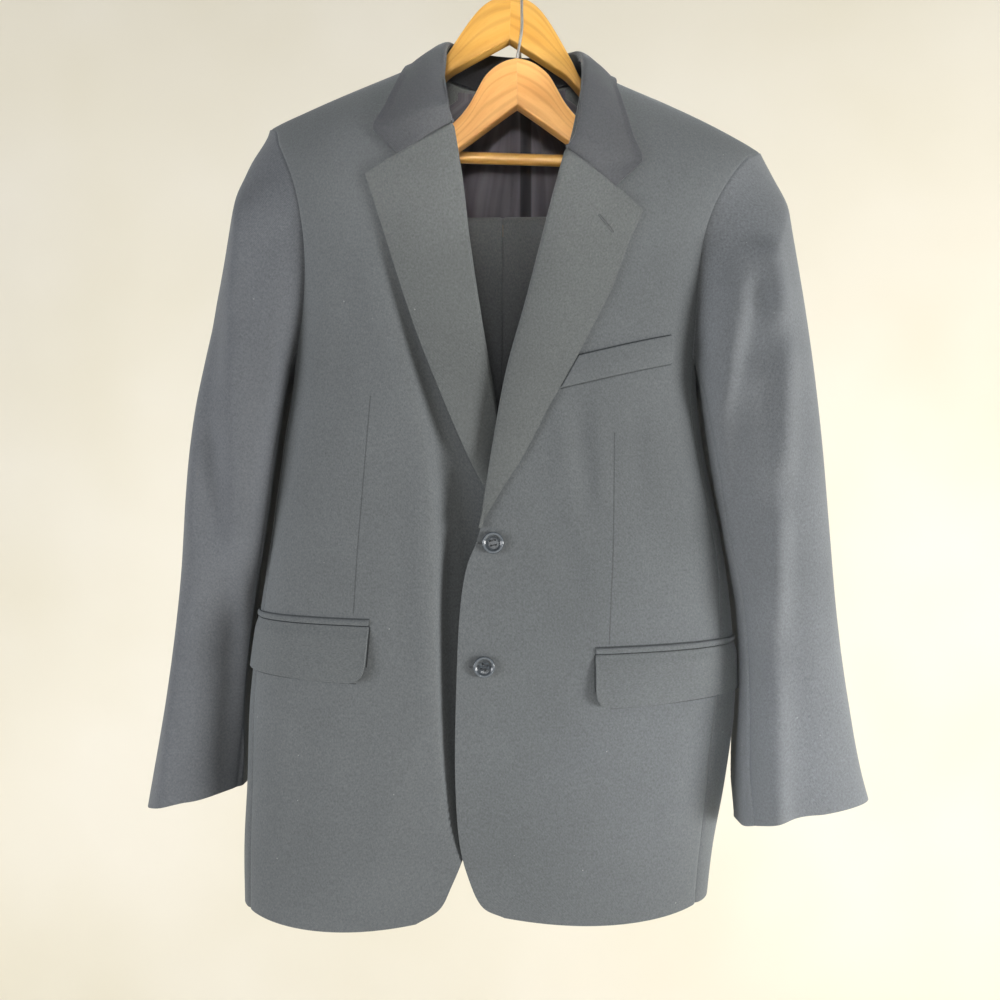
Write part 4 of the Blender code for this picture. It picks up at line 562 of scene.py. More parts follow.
# Each lapel by sections: the front's section its roll line starts from, and its outer edge.
LAPEL = {
    RIGHT: table(
        "section edge_x edge_drop",
        (2.62, -0.1341, 0.2662),
        (3.0, -0.1300, 0.2790),
        (4.0, -0.1214, 0.3071),
        (5.0, -0.1100, 0.3440),
        (6.0, -0.0965, 0.3850),
        (7.0, -0.0745, 0.4430),
        (8.0, -0.0437, 0.5152),
        (8.5, -0.0300, 0.5420),
        (9.0, -0.0130, 0.5720),
        (9.3, -0.0035, 0.5930),
    ),
    LEFT: table(
        "section edge_x edge_drop",
        (3.48, 0.1104, 0.2978),
        (3.9, 0.1050, 0.3100),
        (4.5, 0.0958, 0.3308),
        (5.2, 0.0836, 0.3648),
        (6.0, 0.0645, 0.4030),
        (6.6, 0.0480, 0.4350),
        (7.2, 0.0300, 0.4670),
        (8.0, 0.0045, 0.5150),
        (8.5, -0.0130, 0.5430),
        (9.0, -0.0295, 0.5710),
    ),
}
LAPEL_LIFT = 0.0030
LAPEL_REST = {RIGHT: 0.0012, LEFT: 0.0007}
LAPEL_BRIDGE = 0.8
LAPEL_FOOT_SECTION, LIFT_FADE, BRIDGE_FADE = 9.3, 3, 2.5
ROLL_COVER = 0.0020


def lapel_grid(side, out, columns, rows):
    """A lapel's points a distance out from its rest on the front."""
    v, u = np.meshgrid(rows, columns, indexing="ij")
    roll_x = read(FRONT[side], "edge_x", v) - side * ROLL_COVER
    roll_drop = read(FRONT[side], "edge_drop", v)
    x = roll_x + (read(LAPEL[side], "edge_x", v) - roll_x) * u
    drop = roll_drop + (read(LAPEL[side], "edge_drop", v) - roll_drop) * u
    from_foot = LAPEL_FOOT_SECTION - v
    lift = LAPEL_LIFT * np.sin(np.pi * np.clip(u, 0, 1) ** 0.7) * ease(from_foot / LIFT_FADE)
    lift = LAPEL_REST[side] + lift
    points = on_front(x, drop, side, lift + out)
    if side == RIGHT:
        # The stiff lapel stands clear of the front where that bends back under it.
        bridge = LAPEL_BRIDGE * tuck_depth(x, drop)
        points[..., 1] -= bridge * ease(u) * ease(from_foot / BRIDGE_FADE)
    return points


# The collar round the neck, from the right notch to the left one: its crease, where the stand
# turns over into the fall, and the fall's outer edge. lies is -1 on a front, 0 on the shoulder
# seam and 1 on the back.
COLLAR = table(
    "station crease_x crease_y crease_drop edge_x edge_drop lies",
    (0, -0.0592, -0.0880, 0.2185, -0.1080, 0.2492, -1),
    (1, -0.0600, -0.0850, 0.2070, -0.1282, 0.2262, -1),
    (2, -0.0625, -0.0760, 0.1890, -0.1190, 0.2010, -1),
    (3, -0.0655, -0.0610, 0.1690, -0.1120, 0.1790, -1),
    (4, -0.0672, -0.0420, 0.1465, -0.1075, 0.1610, -1),
    (5, -0.0675, -0.0220, 0.1245, -0.1050, 0.1490, -1),
    (6, -0.0655, -0.0030, 0.1085, -0.1030, 0.1385, 0),
    (7, -0.0590, 0.0170, 0.1000, -0.0960, 0.1490, 1),
    (8, -0.0450, 0.0330, 0.0968, -0.0740, 0.1500, 1),
    (9, -0.0240, 0.0430, 0.0962, -0.0400, 0.1530, 1),
    (10, -0.0020, 0.0460, 0.0967, -0.0030, 0.1545, 1),
    (11, 0.0200, 0.0430, 0.0985, 0.0340, 0.1555, 1),
    (12, 0.0400, 0.0330, 0.1020, 0.0640, 0.1550, 1),
    (13, 0.0530, 0.0170, 0.1075, 0.0840, 0.1580, 1),
    (14, 0.0595, -0.0030, 0.1175, 0.0920, 0.1480, 0),
    (15, 0.0615, -0.0220, 0.1340, 0.0930, 0.1620, -1),
    (16, 0.0608, -0.0420, 0.1540, 0.0920, 0.1740, -1),
    (17, 0.0582, -0.0600, 0.1750, 0.0940, 0.1860, -1),
    (18, 0.0555, -0.0740, 0.1970, 0.0978, 0.2080, -1),
    (19, 0.0530, -0.0820, 0.2170, 0.1026, 0.2310, -1),
    (20, 0.0500, -0.0870, 0.2320, 0.1091, 0.2565, -1),
    (21, 0.0475, -0.0890, 0.2434, 0.0861, 0.2768, -1),
)
COLLAR_BULGE = 0.004
COLLAR_REST = 0.0020
NECK_CENTRE = np.array([-0.003, 0.0, 0.0])
# How far along the neck seam the stand's stations are, each way from the one at the back's
# middle. The ends stand on the fronts, at this section.
STAND_FEET = (0.0, 0.36, 0.66, 0.86, 0.98)
STAND_MIDDLE, STAND_REACH, STAND_END_SECTION = 10, 5, 0.10
STAND_GAP, STAND_IN, STAND_DOWN, STAND_WALL = 0.0010, 0.0008, 0.0012, 0.0014


def clear_of_body(points, gap):
    """Points moved out to at least a gap from the jacket's fronts, shoulders and back."""
    x, y, drop = points[..., 0], points[..., 1], -points[..., 2]
    ahead = y < 0
    reach = np.where(ahead, read(SHOULDER, "reach", x), BACK_REACH) + gap
    depth = np.where(ahead, read(BODY, "front", drop), read(BODY, "back", drop))
    depth = depth * roundness(x, drop) + gap
    below = np.clip(read(SHOULDER, "drop", x) - gap + reach - drop, 0, None)
    share = np.hypot(below / reach, y / depth)
    scale = np.where(share < 1, 1 / np.maximum(share, 1e-6), 1)
    moved_drop = read(SHOULDER, "drop", x) - gap + reach - below * scale
    drop = np.where(below > 0, moved_drop, drop)
    return np.stack([x, y * scale, -drop], -1)


def collar_edge(stations):
    """The fall's outer edge on the face that it lies on, and on its outward side."""
    x, drop = read(COLLAR, "edge_x", stations), read(COLLAR, "edge_drop", stations)
    lies = read(COLLAR, "lies", stations)
    full = rise(x, drop, read(SHOULDER, "reach", x))
    front = -read(BODY, "front", drop) * full * roundness(x, drop)
    y = np.where(lies < 0, front, back_y(x, drop)) * np.abs(np.clip(lies, -1, 1))
    return np.stack([x, y, -drop], -1)


def collar_grid(out, stations, columns):
    """The fall's points, a distance out from its under side."""
    names = ("crease_x", "crease_y", "crease_drop")
    crease = np.stack([read(COLLAR, c, stations) for c in names], -1)
    crease[:, 2] *= -1
    edge = collar_edge(stations)
    u = columns[None, :, None]
    fall = edge - crease
    along = np.gradient(crease, axis=0)
    outward = np.cross(along, fall)
    outward /= np.linalg.norm(outward, axis=-1, keepdims=True)
    outward *= np.sign(outward[:, 2:3] + 1e-9)
    bulge = COLLAR_BULGE * np.sin(np.pi * columns**0.7)[None, :, None]
    points = crease[:, None] + fall[:, None] * u + outward[:, None] * (bulge + out)
    return clear_of_body(points, COLLAR_REST + out)


# ---------------------------------------------------------------- pockets
WELT = {
    "top_left": (0.0531, 0.4269),
    "top_right": (0.1387, 0.4055),
    "bottom_right": (0.1380, 0.4310),
    "bottom_left": (0.0375, 0.4553),
}
# On each side: where the pocket's mouth starts and its drop there, how far round the side it
# goes, how much lower its far end is, and the flap's depth at its near and far ends.
POCKET = {
    RIGHT: dict(x=-0.1308, drop=0.6590, length=0.150, fall=-0.0030, flap=0.0492, far=0.0465),
    LEFT: dict(x=0.0682, drop=0.6835, length=0.152, fall=-0.0042, flap=0.0462, far=0.0425),
}
JET_HEIGHT = 0.0056
FLAP_ROUND = 0.013
REST_OUT = 0.0008
WELT_REST = 0.0016
# The far end of the search for a pocket's places, as a turn behind the body's side.
POCKET_FARTHEST = -0.5


def pocket_places(side, shares):
    """Angles round the body's side at equal steps along the pocket's mouth."""
    spec = POCKET[side]
    start = section_point(spec["x"], spec["drop"], True)
    angles = np.linspace(start, POCKET_FARTHEST, 400)
    points = around(side, angles, np.full(400, spec["drop"]))
    return np.interp(shares * spec["length"], run_along(points), angles)


def flap_depth(side, shares):
    """How deep the flap is along the pocket's mouth."""
    spec = POCKET[side]
    return spec["flap"] + (spec["far"] - spec["flap"]) * shares


def body_normal(side, angle, drop, step=0.002):
    """The outward normal of the body's face, from its slopes."""
    across = around(side, angle + step, drop) - around(side, angle - step, drop)
    down = around(side, angle, drop + step) - around(side, angle, drop - step)
    found = np.cross(across, down)
    found /= np.linalg.norm(found, axis=-1, keepdims=True) + TINY
    from_axis = around(side, angle, drop) * (1, 1, 0)
    return found * np.sign(np.sum(found * from_axis, -1))[..., None]


# ---------------------------------------------------------------- lining
LINING = table(
    "drop right left",
    (0.145, -0.060, 0.052),
    (0.170, -0.095, 0.085),
    (0.210, -0.130, 0.115),
    (0.260, -0.155, 0.130),
    (0.330, -0.168, 0.138),
    (0.450, -0.172, 0.132),
    (0.600, -0.185, 0.145),
    (0.800, -0.205, 0.150),
    (0.905, -0.210, 0.140),
)
# It hangs this far inside the back, nearer at its top, where it is sewn in.
LINING_OFFSET, LINING_TOP_OFFSET = 0.0062, 0.0038
LINING_SEWN, LINING_FREE = 0.145, 0.04
PLEAT_X, PLEAT_HALF, PLEAT_RISE = 0.003, 0.007, 0.0022
PLEAT_TOP, PLEAT_EASE = 0.15, 0.03


def lining_grid(rows, columns, step=0.002):
    """The lining's face, inside the back, with its pleat."""
    v, u = np.meshgrid(rows, columns, indexing="ij")
    right, left = (read(LINING, c, v) for c in ("right", "left"))
    x = right + (left - right) * u
    pleat = PLEAT_RISE * np.exp(-(((x - PLEAT_X) / PLEAT_HALF) ** 4))
    pleat = pleat * ease((v - PLEAT_TOP) / PLEAT_EASE)
    slope_x = (back_y(x + step, v) - back_y(x - step, v)) / (2 * step)
    slope_z = -(back_y(x, v + step) - back_y(x, v - step)) / (2 * step)
    outward = np.stack([-slope_x, np.ones_like(x), -slope_z], -1)
    outward /= np.linalg.norm(outward, axis=-1, keepdims=True)
    hung = ease((v - LINING_SEWN) / LINING_FREE)
    clear = LINING_TOP_OFFSET + (LINING_OFFSET - LINING_TOP_OFFSET) * hung
    return np.stack([x, back_y(x, v), -v], -1) - outward * (clear + pleat)[..., None]


FRONT_BUTTONS = ((-0.0218, 0.5911), (-0.0296, 0.6995))
BUTTON_THICKNESS = 0.0034
HOLE_SPREAD, HOLE_RADIUS = 0.0021, 0.0009
CUFF_BUTTON_COUNT = 4
CUFF_BUTTON_THICKNESS = 0.0028
# How far a front button stands off its front, and a cuff button off its sleeve.
BUTTON_OUT, CUFF_BUTTON_OUT = 0.0007, 0.0004
# How the front buttons are turned, in degrees, and each cuff button more than the last one.
BUTTON_TURNS, CUFF_BUTTON_TURN = (12, -20), 0.3
CUFF_HOLE_SPREAD, CUFF_HOLE_RADIUS = HOLE_SPREAD * 0.75, HOLE_RADIUS * 0.8


# Half of a hanger by its distance from the centre: the top and under edges' drop below the
# arch's top. Both arms are the same.
UPPER_HANGER = table(
    "out top under",
    (0.0003, 0.0000, 0.0425),
    (0.0140, 0.0026, 0.0505),
    (0.0285, 0.0122, 0.0590),
    (0.0386, 0.0247, 0.0650),
    (0.0474, 0.0381, 0.0705),
    (0.0540, 0.0490, 0.0745),
    (0.0622, 0.0628, 0.0820),
    (0.0690, 0.0758, 0.0895),
    (0.0756, 0.0840, 0.0960),
    (0.0950, 0.0922, 0.1070),
    (0.1500, 0.1152, 0.1360),
    (0.1850, 0.1278, 0.1560),
    (0.2050, 0.1347, 0.1695),
    (0.2160, 0.1428, 0.1670),
)
LOWER_HANGER = table(
    "out top under",
    (0.0003, 0.0000, 0.0445),
    (0.0104, 0.0024, 0.0515),
    (0.0218, 0.0088, 0.0597),
    (0.0306, 0.0174, 0.0662),
    (0.0375, 0.0295, 0.0712),
    (0.0432, 0.0400, 0.0753),
    (0.0518, 0.0516, 0.0812),
    (0.0650, 0.0640, 0.0900),
    (0.1000, 0.0860, 0.1120),
    (0.1400, 0.1105, 0.1385),
    (0.1700, 0.1290, 0.1640),
    (0.1900, 0.1430, 0.1820),
    (0.2020, 0.1560, 0.1790),
)
HANGERS = {
    "upper": {
        "shape": UPPER_HANGER,
        "top": (-0.0050, 0.0020, 0.0620),
        "tilt": 1.9,
        "bar_drop": 0.1570,
        "bar_end": 0.2020,
    },
    "lower": {
        "shape": LOWER_HANGER,
        "top": (0.0000, -0.0320, 0.1402),
        "tilt": -0.7,
        "bar_drop": 0.1600,
        "bar_end": 0.1860,
    },
}
BAR_SOCKET = 0.007


def hanger_frame(name):
    x, y, drop = HANGERS[name]["top"]
    tilt = math.radians(HANGERS[name]["tilt"])
    return Matrix.Translation((x, y, -drop)) @ Matrix.Rotation(tilt, 4, "Y")


UPPER_HOOK_RADIUS = 0.0210
LOWER_HOOK_RADIUS = 0.0300
LOWER_HOOK_DROP = 0.0627
LOWER_HOOK_X = 0.0048
LOWER_WIRE = 0.0026


# ---------------------------------------------------------------- trousers
# Along each leg from the hem, over the bar and down to the waist: the flat width there, and
# where the outseam lies. reach is measured from the top of the fold, the hem end below 0.
TROUSERS = table(
    "reach width middle",
    (-0.530, 0.215, -0.020),
    (-0.300, 0.225, -0.016),
    (0.000, 0.236, -0.013),
    (0.150, 0.255, -0.014),
    (0.300, 0.290, -0.016),
    (0.420, 0.280, -0.018),
    (0.490, 0.255, -0.018),
)
LEG_THICKNESS = 0.0029
WAISTBAND_HEIGHT = 0.038
WAISTBAND_FLATNESS = 0.35


def bar_centre():
    return hanger_frame("lower") @ Vector((0, 0, -HANGERS["lower"]["bar_drop"]))


def bar_slope(x):
    """How much lower the bar's line is at x, since the hanger tilts."""
    return -(x - HANGERS["lower"]["top"][0]) * math.tan(math.radians(HANGERS["lower"]["tilt"]))


# ---------------------------------------------------------------- making pieces by hand
SEAM_DIP = 0.0009
SEAM_ROLL = 0.0018
EDGE_ROUND = 0.30
SMOOTH_CLOTH, SMOOTH_TUBE, SMOOTH_BUTTON = (math.radians(a) for a in (48, 40, 35))
BEVEL_OVER = math.radians(50)
BODY_AXIS = np.array([-0.01, 0.0, 0.0])


def merged(*parts):
    """Several rows of places as one, in order and each place once."""
    return np.unique(np.concatenate(parts))


def run_along(line):
    """The length of a line of points up to each of them."""
    return np.concatenate([[0], np.cumsum(np.linalg.norm(np.diff(line, axis=0), axis=1))])


def axis_of(grid):
    """The body's axis, level with each of a grid's points."""
    return grid * (0, 0, 1) + BODY_AXIS


def normals(grid, away_from):
    """Unit normals of a grid, pointing away from a point or a row of points."""
    found = np.cross(np.gradient(grid, axis=0), np.gradient(grid, axis=1))
    found /= np.linalg.norm(found, axis=-1, keepdims=True) + TINY
    return found * np.sign(np.sum(found * (grid - away_from)))


def with_seams(points, away, seams):
    """The same grid with its sewn edges drawn in, as a pressed seam pulls them."""
    depth = np.zeros(points.shape[:2])
    for seam in seams:
        axis = 0 if seam in ("top", "foot") else 1
        turned = seam in ("foot", "end")
        line = np.flip(points, axis) if turned else points
        steps = np.linalg.norm(np.diff(line, axis=axis), axis=-1)
        first = np.zeros_like(np.take(steps, [0], axis))
        run = np.cumsum(np.concatenate([first, steps], axis), axis)
        dip = SEAM_DIP * np.exp(-((run / SEAM_ROLL) ** 2))
        depth = np.maximum(depth, np.flip(dip, axis) if turned else dip)
    return points - normals(points, away) * depth[..., None]


def deselect():
    if bpy.context.object and bpy.context.object.mode != "OBJECT":
        bpy.ops.object.mode_set(mode="OBJECT")
    bpy.ops.object.select_all(action="DESELECT")


def activate(piece):
    deselect()
    piece.select_set(True)
    bpy.context.view_layer.objects.active = piece


def grid_piece(name, points, away):
    """A grid of faces on the points, its faces looking away, with a map in metres along it."""
    rows, columns = points.shape[:2]
    facing = np.cross(np.gradient(points, axis=1), np.gradient(points, axis=0))
    if np.sum(facing * (points - away)) < 0:
        points = points[:, ::-1]
    deselect()
    divisions = {"x_subdivisions": columns - 1, "y_subdivisions": rows - 1}
    bpy.ops.mesh.primitive_grid_add(**divisions, size=1, location=(0, 0, 0))
    piece = bpy.context.object
    piece.name = piece.data.name = name
    mesh = piece.data
    mesh.vertices.foreach_set("co", np.ascontiguousarray(points, dtype=np.float32).reshape(-1))
    across, along = (
        np.append(0, np.cumsum(np.linalg.norm(np.diff(points, axis=axis), axis=-1).mean(1 - axis)))
        for axis in (1, 0)
    )
    corner = np.empty(len(mesh.loops), np.int32)
    mesh.loops.foreach_get("vertex_index", corner)
    places = np.stack([across[corner % columns], along[corner // columns]], -1)
    mesh.uv_layers.active.data.foreach_set("uv", places.astype(np.float32).reshape(-1))
    mesh.update()
    return piece


def thicken(piece, wall, edge=EDGE_ROUND):
    """Gives a sheet its wall, inwards from its faces, with its edges rounded."""
    solid = piece.modifiers.new("cloth wall", "SOLIDIFY")
    solid.thickness = wall
    solid.offset = -1
    bevel = piece.modifiers.new("soft edge", "BEVEL")
    bevel.width = wall * edge
    bevel.segments = 2
    bevel.limit_method = "ANGLE"
    bevel.angle_limit = BEVEL_OVER
    for modifier in list(piece.modifiers):
        bpy.ops.object.modifier_apply(modifier=modifier.name)
    piece.data.shade_smooth()
    bpy.ops.object.shade_smooth_by_angle(angle=SMOOTH_CLOTH)


def close_tube(cap=True, merge_within=1e-6, smooth=SMOOTH_TUBE):
    """Joins the first and last columns of the piece just made, and fills its ends."""
    bpy.ops.object.mode_set(mode="EDIT")
    bpy.ops.mesh.select_all(action="SELECT")
    bpy.ops.mesh.remove_doubles(threshold=merge_within)
    if cap:
        bpy.ops.mesh.fill_holes(sides=0)
    bpy.ops.mesh.normals_make_consistent(inside=False)
    bpy.ops.object.mode_set(mode="OBJECT")
    bpy.ops.object.shade_smooth_by_angle(angle=smooth)


def cut_hole(piece, radius, depth, vertices, location=(0, 0, 0), turned=None):
    """Cuts a round hole in a piece, upright unless it's turned."""
    deselect()
    sizes = {"vertices": vertices, "radius": radius, "depth": depth}
    bpy.ops.mesh.primitive_cylinder_add(**sizes, location=location)
    punch = bpy.context.object
    if turned is not None:
        punch.data.transform(turned)
    hole = piece.modifiers.new("hole", "BOOLEAN")
    hole.object = punch
    activate(piece)
    bpy.ops.object.modifier_apply(modifier=hole.name)
    bpy.data.objects.remove(punch, do_unlink=True)


def dress(piece, finish, slot, *nodes):
    """Gives a piece its finish, hides the solids that it stands for and sets it on the root body.
    """
    piece.data.materials.clear()
    piece.data.materials.append(finish)
    if nodes:
        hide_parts(*nodes)
    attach(piece, "root")
    return piece


# ---------------------------------------------------------------- finishes
WAVE_PERIOD = 0.314
TWILL_PITCH = 0.0011
TWILL_ANGLE = 62
HEATHER_GRAIN, FLECK_GRAIN = 0.0010, 0.0019
# A bit of lint may lie in each cell of this size; most are left out.
LINT_SPACING, LINT_REACH, LINT_LEFT_OUT = 0.021, 0.030, 0.62
# The colour of seam lines, and of painted shadow lines beside raised edges.
SEAM_AND_SHADOW_COLOUR = "#24272a"
# The lining's ease pleat shows a dark strip between its folds: a painted shadow.
PLEAT_SHADOW_X, PLEAT_SHADOW_HALF = 0.0108, 0.0062
# Where the rim's painted highlight lies along a button's profile, and half its breadth, as shares
# of the diameter.
RIM_HIGHLIGHT_RUN, RIM_HIGHLIGHT_HALF = 0.66, 0.075


def linear(value):
    return value / 12.92 if value <= 0.04045 else ((value + 0.055) / 1.055) ** 2.4


def colour(code):
    return (*(linear(int(code[i : i + 2], 16) / 255) for i in (1, 3, 5)), 1)


def add(tree, kind, inputs=None, **settings):
    """A node with its settings, and its inputs as values or as links from other nodes."""
    made = tree.nodes.new("ShaderNode" + kind)
    for key, value in settings.items():
        setattr(made, key, value)
    for key, value in (inputs or {}).items():
        if isinstance(value, bpy.types.NodeSocket):
            tree.links.new(value, made.inputs[key])
        else:
            made.inputs[key].default_value = value
    return made


def maths(tree, operation, first, second=0.0, third=0.0):
    return add(tree, "Math", {0: first, 1: second, 2: third}, operation=operation).outputs[0]


def blend(tree, share, first, second, mode="MIX"):
    made = add(tree, "Mix", {0: share, 6: first, 7: second}, data_type="RGBA", blend_type=mode)
    return made.outputs[2]


def spread(tree, value, low, high, to_low=0.0, to_high=1.0, smooth=False):
    made = add(tree, "MapRange", {0: value, 1: low, 2: high, 3: to_low, 4: to_high})
    made.interpolation_type = "SMOOTHSTEP" if smooth else "LINEAR"
    return made.outputs[0]


def noise(tree, place, scale, detail=2.0, rough=0.5, distortion=0.0):
    inputs = {"Vector": place, "Scale": scale, "Detail": detail}
    inputs.update({"Roughness": rough, "Distortion": distortion})
    return add(tree, "TexNoise", inputs).outputs[0]


def wave(tree, place, scale, distortion, **more):
    inputs = {"Vector": place, "Scale": scale, "Distortion": distortion, **more}
    return add(tree, "TexWave", inputs).outputs["Fac"]


def bump(tree, strength, distance, height, **more):
    inputs = {"Strength": strength, "Distance": distance, "Height": height, **more}
    return add(tree, "Bump", inputs).outputs[0]


def drawn_out(tree, place, share):
    """The piece's map, drawn out along the cloth or the grain."""
    inputs = {"Vector": place.outputs["UV"], "Scale": (1.0, share, 1.0)}
    return add(tree, "Mapping", inputs).outputs[0]


def stain(tree, share, strength, under, code):
    """A colour laid over what is under it, where share is high."""
    return blend(tree, maths(tree, "MULTIPLY", share, strength), under, colour(code))


def off_line(tree, value, line):
    """How far a value is from a line's, either way."""
    return maths(tree, "ABSOLUTE", maths(tree, "SUBTRACT", value, line))


def wire(tree, shader, **values):
    """Links values to the shader, an underscore standing for a space in an input's name."""
    for socket, value in values.items():
        tree.links.new(value, shader.inputs[socket.replace("_", " ")])


def new_finish(name, roughness, metallic=0.0, **shader_values):
    made = bpy.data.materials.new(name)
    made.use_nodes = True
    tree = made.node_tree
    shader = tree.nodes["Principled BSDF"]
    shader.inputs["Roughness"].default_value = roughness
    shader.inputs["Metallic"].default_value = metallic
    for socket, value in shader_values.items():
        shader.inputs[socket.replace("_", " ")].default_value = value
    return made, tree, shader


def seam_and_shadow_line(tree, place, start, end, half_width):
    """1 on a line between two places of the front, seen as (x, z), and 0 off it."""
    length = math.hypot(end[0] - start[0], end[1] - start[1])
    run = ((end[0] - start[0]) / length, 0.0, (end[1] - start[1]) / length)
    origin = {0: place, 1: (start[0], 0.0, start[1])}
    from_start = add(tree, "VectorMath", origin, operation="SUBTRACT").outputs[0]
    along, across = (
        add(tree, "VectorMath", {0: from_start, 1: way}, operation="DOT_PRODUCT").outputs["Value"]
        for way in (run, (run[2], 0.0, -run[0]))
    )
    off = maths(tree, "ABSOLUTE", across)
    near = spread(tree, off, 0.0, half_width, 1.0, 0.0, smooth=True)
    within = maths(tree, "COMPARE", along, length / 2, length / 2)
    return maths(tree, "MULTIPLY", near, within)


def worsted(name, dark, light, lines=()):
    """Wool twill: a fine diagonal rib, heathered yarn, a short nap and a few bits of lint."""
    nap = {"Sheen_Weight": 0.30, "Sheen_Roughness": 0.45, "Specular_IOR_Level": 0.28}
    made, tree, shader = new_finish(name, 0.82, **nap, Sheen_Tint=colour("#c9d2d8"))
    place = add(tree, "TexCoord")
    on_body = place.outputs["Object"]
    twill = {"Vector": place.outputs["UV"], "Rotation": (0, 0, math.radians(TWILL_ANGLE))}
    turned = add(tree, "Mapping", twill).outputs[0]
    rib = wave(tree, turned, WAVE_PERIOD / TWILL_PITCH, 1.2, Detail=1.0)
    yarn = noise(tree, drawn_out(tree, place, 0.42), 1 / HEATHER_GRAIN, 3.0, 0.62)
    fleck = noise(tree, on_body, 1 / FLECK_GRAIN, 2.0, 0.65)
    broad = noise(tree, on_body, 11.0, 3.0, 0.5)
    share = maths(tree, "MULTIPLY", rib, 0.22)
    parts = (spread(tree, yarn, 0.30, 0.70), 0.42), (spread(tree, fleck, 0.32, 0.68), 0.36)
    for part, weight in parts:
        share = maths(tree, "ADD", share, maths(tree, "MULTIPLY", part, weight))
    cloth = blend(tree, share, colour(dark), colour(light))
    shade = spread(tree, broad, 0.3, 0.7, 0.93, 1.05)
    grey = add(tree, "CombineColor", {0: shade, 1: shade, 2: shade}).outputs[0]
    cloth = blend(tree, 1.0, cloth, grey, "MULTIPLY")
    cells = {"Vector": on_body, "Scale": 1 / LINT_SPACING, "Randomness": 1.0}
    cell = add(tree, "TexVoronoi", cells)
    drawn = add(tree, "SeparateColor", {0: cell.outputs["Color"]}).outputs[0]
    kept = maths(tree, "GREATER_THAN", drawn, LINT_LEFT_OUT)
    speck = maths(tree, "LESS_THAN", cell.outputs["Distance"], LINT_REACH)
    cloth = stain(tree, maths(tree, "MULTIPLY", speck, kept), 0.6, cloth, "#a3a6a6")
    height = maths(tree, "ADD", maths(tree, "MULTIPLY", rib, 0.5), yarn)
    # Seams, and painted shadows beside raised edges, darken the cloth along their lines.
    for start, end, half_width, depth in lines:
        line = seam_and_shadow_line(tree, on_body, start, end, half_width)
        cloth = stain(tree, line, depth, cloth, SEAM_AND_SHADOW_COLOUR)
        height = maths(tree, "SUBTRACT", height, maths(tree, "MULTIPLY", line, 1.6))
    drape = bump(tree, 0.25, 0.0022, noise(tree, on_body, 34.0, 2.0, 0.5))
    weave = bump(tree, 0.45, 0.00028, height, Normal=drape)
    wire(tree, shader, Base_Color=cloth, Normal=weave)
    return made


def satin(name, dark, light):
    """Smooth lining satin, its threads lying along the cloth, so that it shines in long streaks;
    the lighter streaks of its colour are painted sheen, and its pleat holds a painted shadow.
    """
    glow = {"Sheen_Weight": 0.25, "Sheen_Roughness": 0.3, "Anisotropic": 0.55}
    made, tree, shader = new_finish(name, 0.38, **glow)
    place = add(tree, "TexCoord")
    long = drawn_out(tree, place, 0.06)
    sheen_streak = noise(tree, long, 70.0, 2.0, 0.5)
    thread = noise(tree, long, 1500.0, 2.0, 0.5)
    # Lighter streaks in the colour: painted sheen.
    cloth = blend(tree, spread(tree, sheen_streak, 0.3, 0.7), colour(dark), colour(light))
    across = add(tree, "SeparateXYZ", {0: place.outputs["Object"]}).outputs["X"]
    inner, outer = PLEAT_SHADOW_HALF * 0.75, PLEAT_SHADOW_HALF * 1.1
    from_pleat_shadow = off_line(tree, across, PLEAT_SHADOW_X)
    pleat = spread(tree, from_pleat_shadow, inner, outer, 0.86, 0.0, smooth=True)
    # A painted shadow in the pleat's gap.
    cloth = blend(tree, pleat, cloth, colour("#191b20"))
    height = maths(tree, "ADD", maths(tree, "MULTIPLY", sheen_streak, 3.0), thread)
    gloss = spread(tree, sheen_streak, 0.3, 0.7, 0.46, 0.30)
    wire(tree, shader, Base_Color=cloth, Normal=bump(tree, 0.3, 0.0006, height), Roughness=gloss)
    return made


def lacquered_wood(name, pale, warm, grain):
    """Lacquered wood with its grain along the piece, pores and a darker figure here and there."""
    made, tree, shader = new_finish(name, 0.38, Coat_Weight=0.22, Coat_Roughness=0.22)
    long = drawn_out(tree, add(tree, "TexCoord"), 0.10)
    figure = noise(tree, long, 62.0, 4.0, 0.55, 1.4)
    rings = wave(tree, long, 34.0, 9.0, **{"Detail": 2.0, "Detail Scale": 1.4})
    pores = noise(tree, long, 900.0, 2.0, 0.6)
    share = spread(tree, figure, 0.30, 0.70, smooth=True)
    wood = blend(tree, share, colour(pale), colour(warm))
    wood = stain(tree, spread(tree, rings, 0.62, 1.0), 0.38, wood, grain)
    wood = stain(tree, spread(tree, pores, 0.58, 0.80), 0.30, wood, grain)
    wire(tree, shader, Base_Color=wood, Normal=bump(tree, 0.12, 0.0003, pores))
    return made


def polyester_button(name, diameter):
    """Dark polyester, cloudy under the polish, its polished rim paler: a painted highlight."""
    made, tree, shader = new_finish(name, 0.22, Coat_Weight=0.4, Coat_Roughness=0.10)
    place = add(tree, "TexCoord")
    cloud = noise(tree, place.outputs["Object"], 260.0, 4.0, 0.6, 0.8)
    body = blend(tree, spread(tree, cloud, 0.35, 0.7), colour("#2d3237"), colour("#4f565d"))
    run = add(tree, "SeparateXYZ", {0: place.outputs["UV"]}).outputs["Y"]
    from_rim, half = off_line(tree, run, RIM_HIGHLIGHT_RUN * diameter), RIM_HIGHLIGHT_HALF * diameter
    rim = spread(tree, from_rim, half * 0.6, half, 0.9, 0.0, smooth=True)
    # The paler ring is a painted highlight on the rim.
    face = blend(tree, rim, body, colour("#636a71"))
    wire(tree, shader, Base_Color=face, Roughness=spread(tree, cloud, 0.3, 0.7, 0.30, 0.18))
    return made


